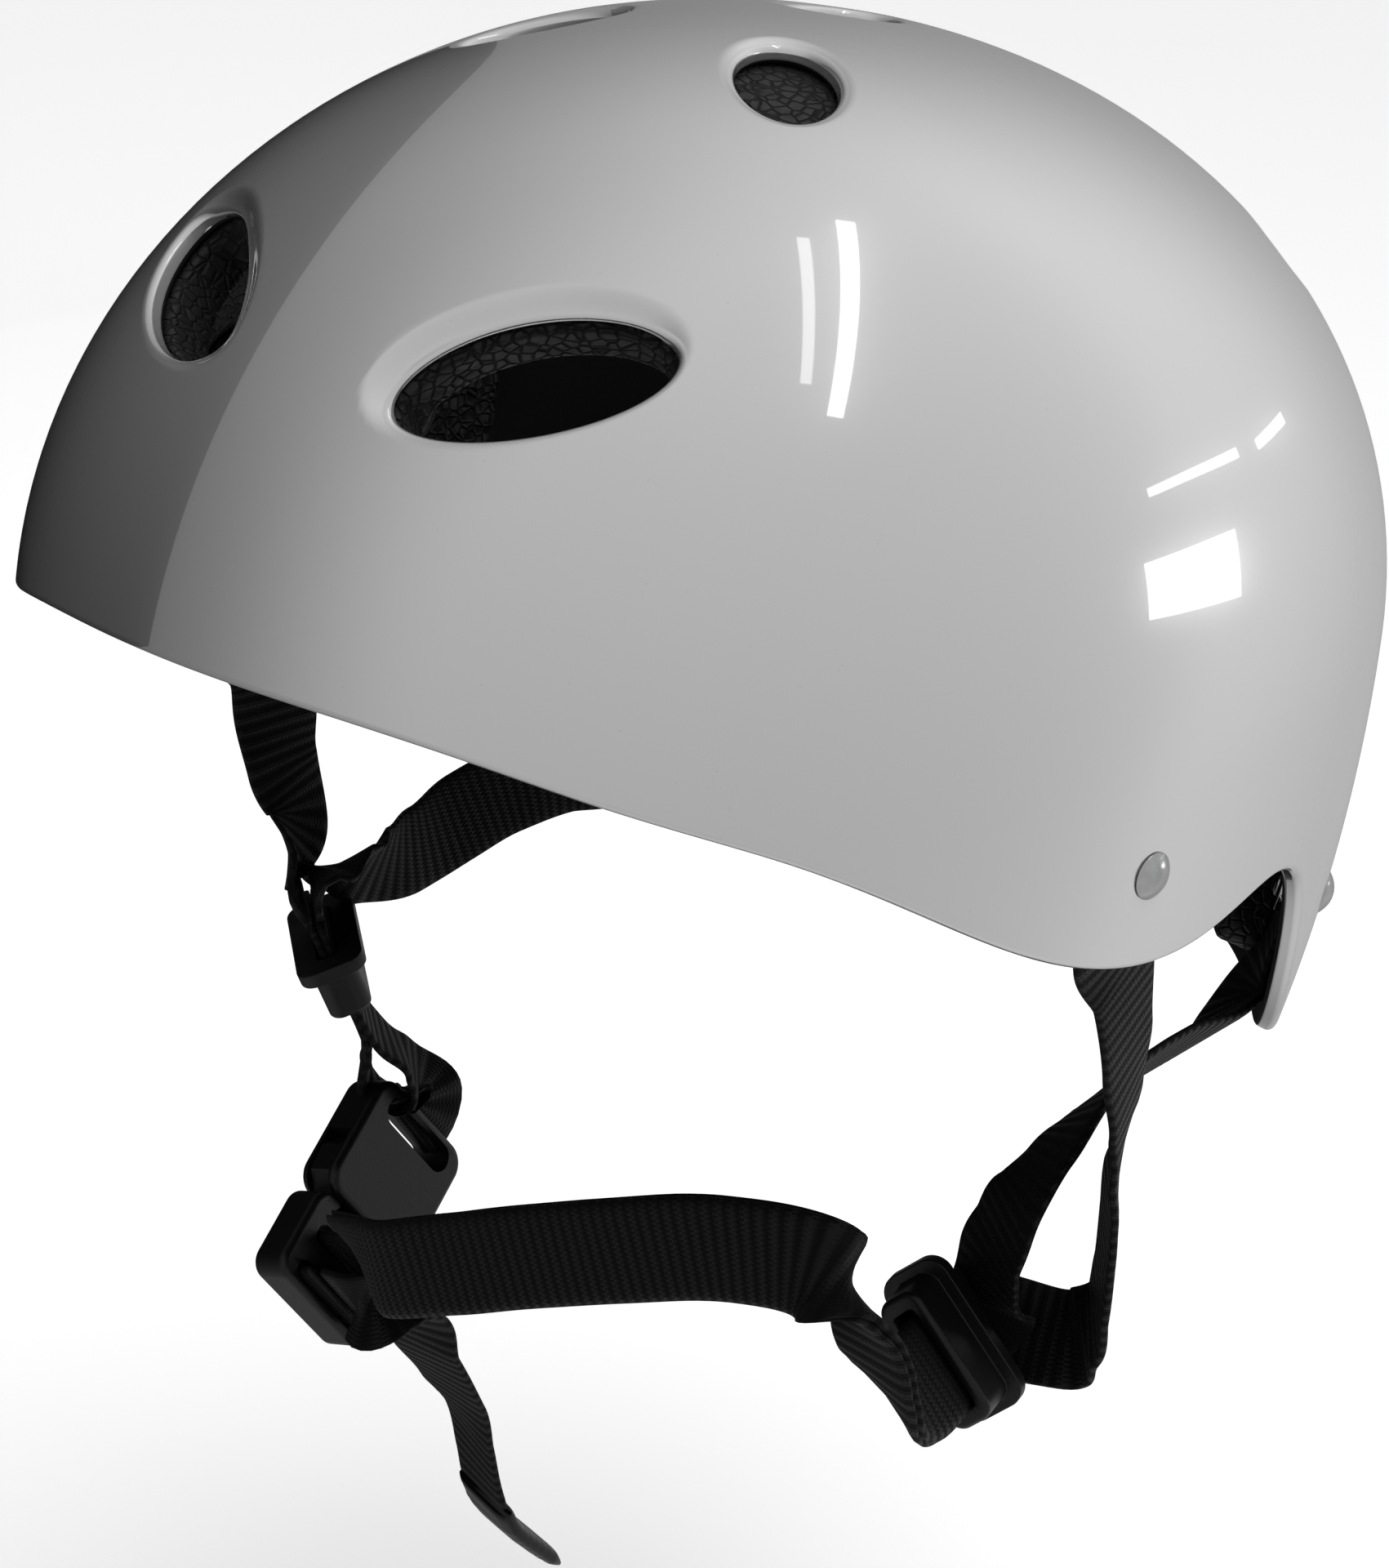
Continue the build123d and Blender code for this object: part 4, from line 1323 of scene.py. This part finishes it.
def add_panel(name, start, end, width, brightness):
    """Flat lamp between two points, turned to the helmet; only reflections show it."""
    start, end = Vector(start), Vector(end)
    middle, run = (start + end) / 2, end - start
    item = add_lamp(name, width, run.length, brightness * math.pi * width * run.length)
    outward = middle.normalized()
    upward = (run - outward * run.dot(outward)).normalized()
    turn = Matrix((upward.cross(outward), upward, outward)).transposed().to_4x4()
    item.matrix_world = Matrix.Translation(middle) @ turn
    item.visible_diffuse = False


def add_flag(name, direction, distance, radius, tone):
    """Round matt card that keeps one side of the shell in shade; only reflections see it."""
    bpy.ops.mesh.primitive_circle_add(vertices=96, radius=radius, fill_type="NGON")
    card = bpy.context.object
    card.name = name
    aim(card, direction, distance)
    material, tree, shader, place = start_material(
        name + "_matt", Roughness=1.0, Specular_IOR_Level=0.0,
    )
    cloud = noise_node(tree, place, 2.0)
    wire(tree, mix_colours(tree, cloud, grey(tone), grey(tone * 1.6)), shader.inputs["Base Color"])
    card.data.materials.append(material)
    card.visible_camera = False
    card.visible_shadow = False
    card.visible_diffuse = False


def reflected_level(tree, brightest):
    """Brightness that reflections find: full on the lit side, dimmer to the right and behind."""
    towards = add_node(tree, "ShaderNodeTexCoord").outputs["Generated"]
    behind = add_node(tree, "ShaderNodeVectorMath", operation="DOT_PRODUCT")
    behind.inputs[1].default_value = BACKDROP_SIDE
    wire(tree, towards, behind.inputs[0])
    across = add_node(tree, "ShaderNodeSeparateXYZ")
    wire(tree, towards, across.inputs[0])
    far = ramp_node(tree, behind.outputs["Value"], 0.15, 0.9, 1.0, 0.33)
    right = ramp_node(tree, across.outputs["X"], -0.9, 0.2, 0.2, 1.0)
    return math_node(tree, "MULTIPLY", math_node(tree, "MULTIPLY", far, right), brightest)


def build_world(ambient, brightest, seen):
    """Even studio surround: separate levels for soft light, reflections and backdrop."""
    world = bpy.data.worlds.new("studio")
    bpy.context.scene.world = world
    world.use_nodes = True
    tree = world.node_tree
    back = tree.nodes["Background"]
    path = add_node(tree, "ShaderNodeLightPath")
    level = add_node(tree, "ShaderNodeMix", data_type="FLOAT")
    wire(tree, path.outputs["Is Glossy Ray"], level.inputs[0])
    level.inputs[2].default_value = ambient
    wire(tree, reflected_level(tree, brightest), level.inputs[3])
    shown = add_node(tree, "ShaderNodeMix", data_type="FLOAT")
    wire(tree, path.outputs["Is Camera Ray"], shown.inputs[0])
    wire(tree, level.outputs[0], shown.inputs[2])
    shown.inputs[3].default_value = seen
    wire(tree, shown.outputs[0], back.inputs["Strength"])
    back.inputs["Color"].default_value = (1, 1, 1, 1)


CAMERA_PLACE = (0.4204, -0.5247, 0.2184)
CAMERA_RIGHT = (0.7631, 0.6420, 0.0742)
CAMERA_UP = (-0.2802, 0.2252, 0.9332)
CAMERA_BACK = (0.5824, -0.7329, 0.3517)


def build_camera():
    """Camera at the left front, a little above, with a slight roll."""
    data = bpy.data.cameras.new("camera")
    data.lens = 89.3
    data.sensor_width = 36.0
    camera = bpy.data.objects.new("camera", data)
    bpy.context.scene.collection.objects.link(camera)
    turn = Matrix((CAMERA_RIGHT, CAMERA_UP, CAMERA_BACK)).transposed().to_4x4()
    camera.matrix_world = Matrix.Translation(CAMERA_PLACE) @ turn
    bpy.context.scene.camera = camera


# Panels: name, start, end, width, brightness
REFLECTED_PANELS = [
    ("strip", (0.145, 0.464, 1.167), (0.77, -0.024, 1.04), 0.05, 9.0),
    ("strip_echo", (0.163, 0.324, 1.225), (0.645, -0.039, 1.123), 0.035, 3.0),
    ("window", (1.208, 0.973, 0.244), (0.834, 1.314, 0.118), 0.2, 7.0),
    ("window_bar", (1.03, 1.07, 0.528), (0.639, 1.382, 0.365), 0.03, 5.0),
    ("window_sill", (0.548, 1.434, 0.32), (0.35, 1.507, 0.262), 0.03, 5.0),
]


def build_studio():
    """Soft key from above, weak fill, thin bright panels for the coat, and a shade card."""
    build_world(ambient=0.16, brightest=2.4, seen=1.0)
    add_softbox("key", (0.3, 0.05, 0.95), 1.6, 1.3, 17.0)
    add_softbox("fill", (0.7, -0.9, 0.1), 2.0, 1.5, 1.5)
    for panel in REFLECTED_PANELS:
        add_panel(*panel)
    add_flag("shade_card", (-1, 0, 0), 1.0, 0.88, 0.03)


build_floor()
build_studio()
build_camera()
bpy.context.scene.view_settings.view_transform = "Standard"
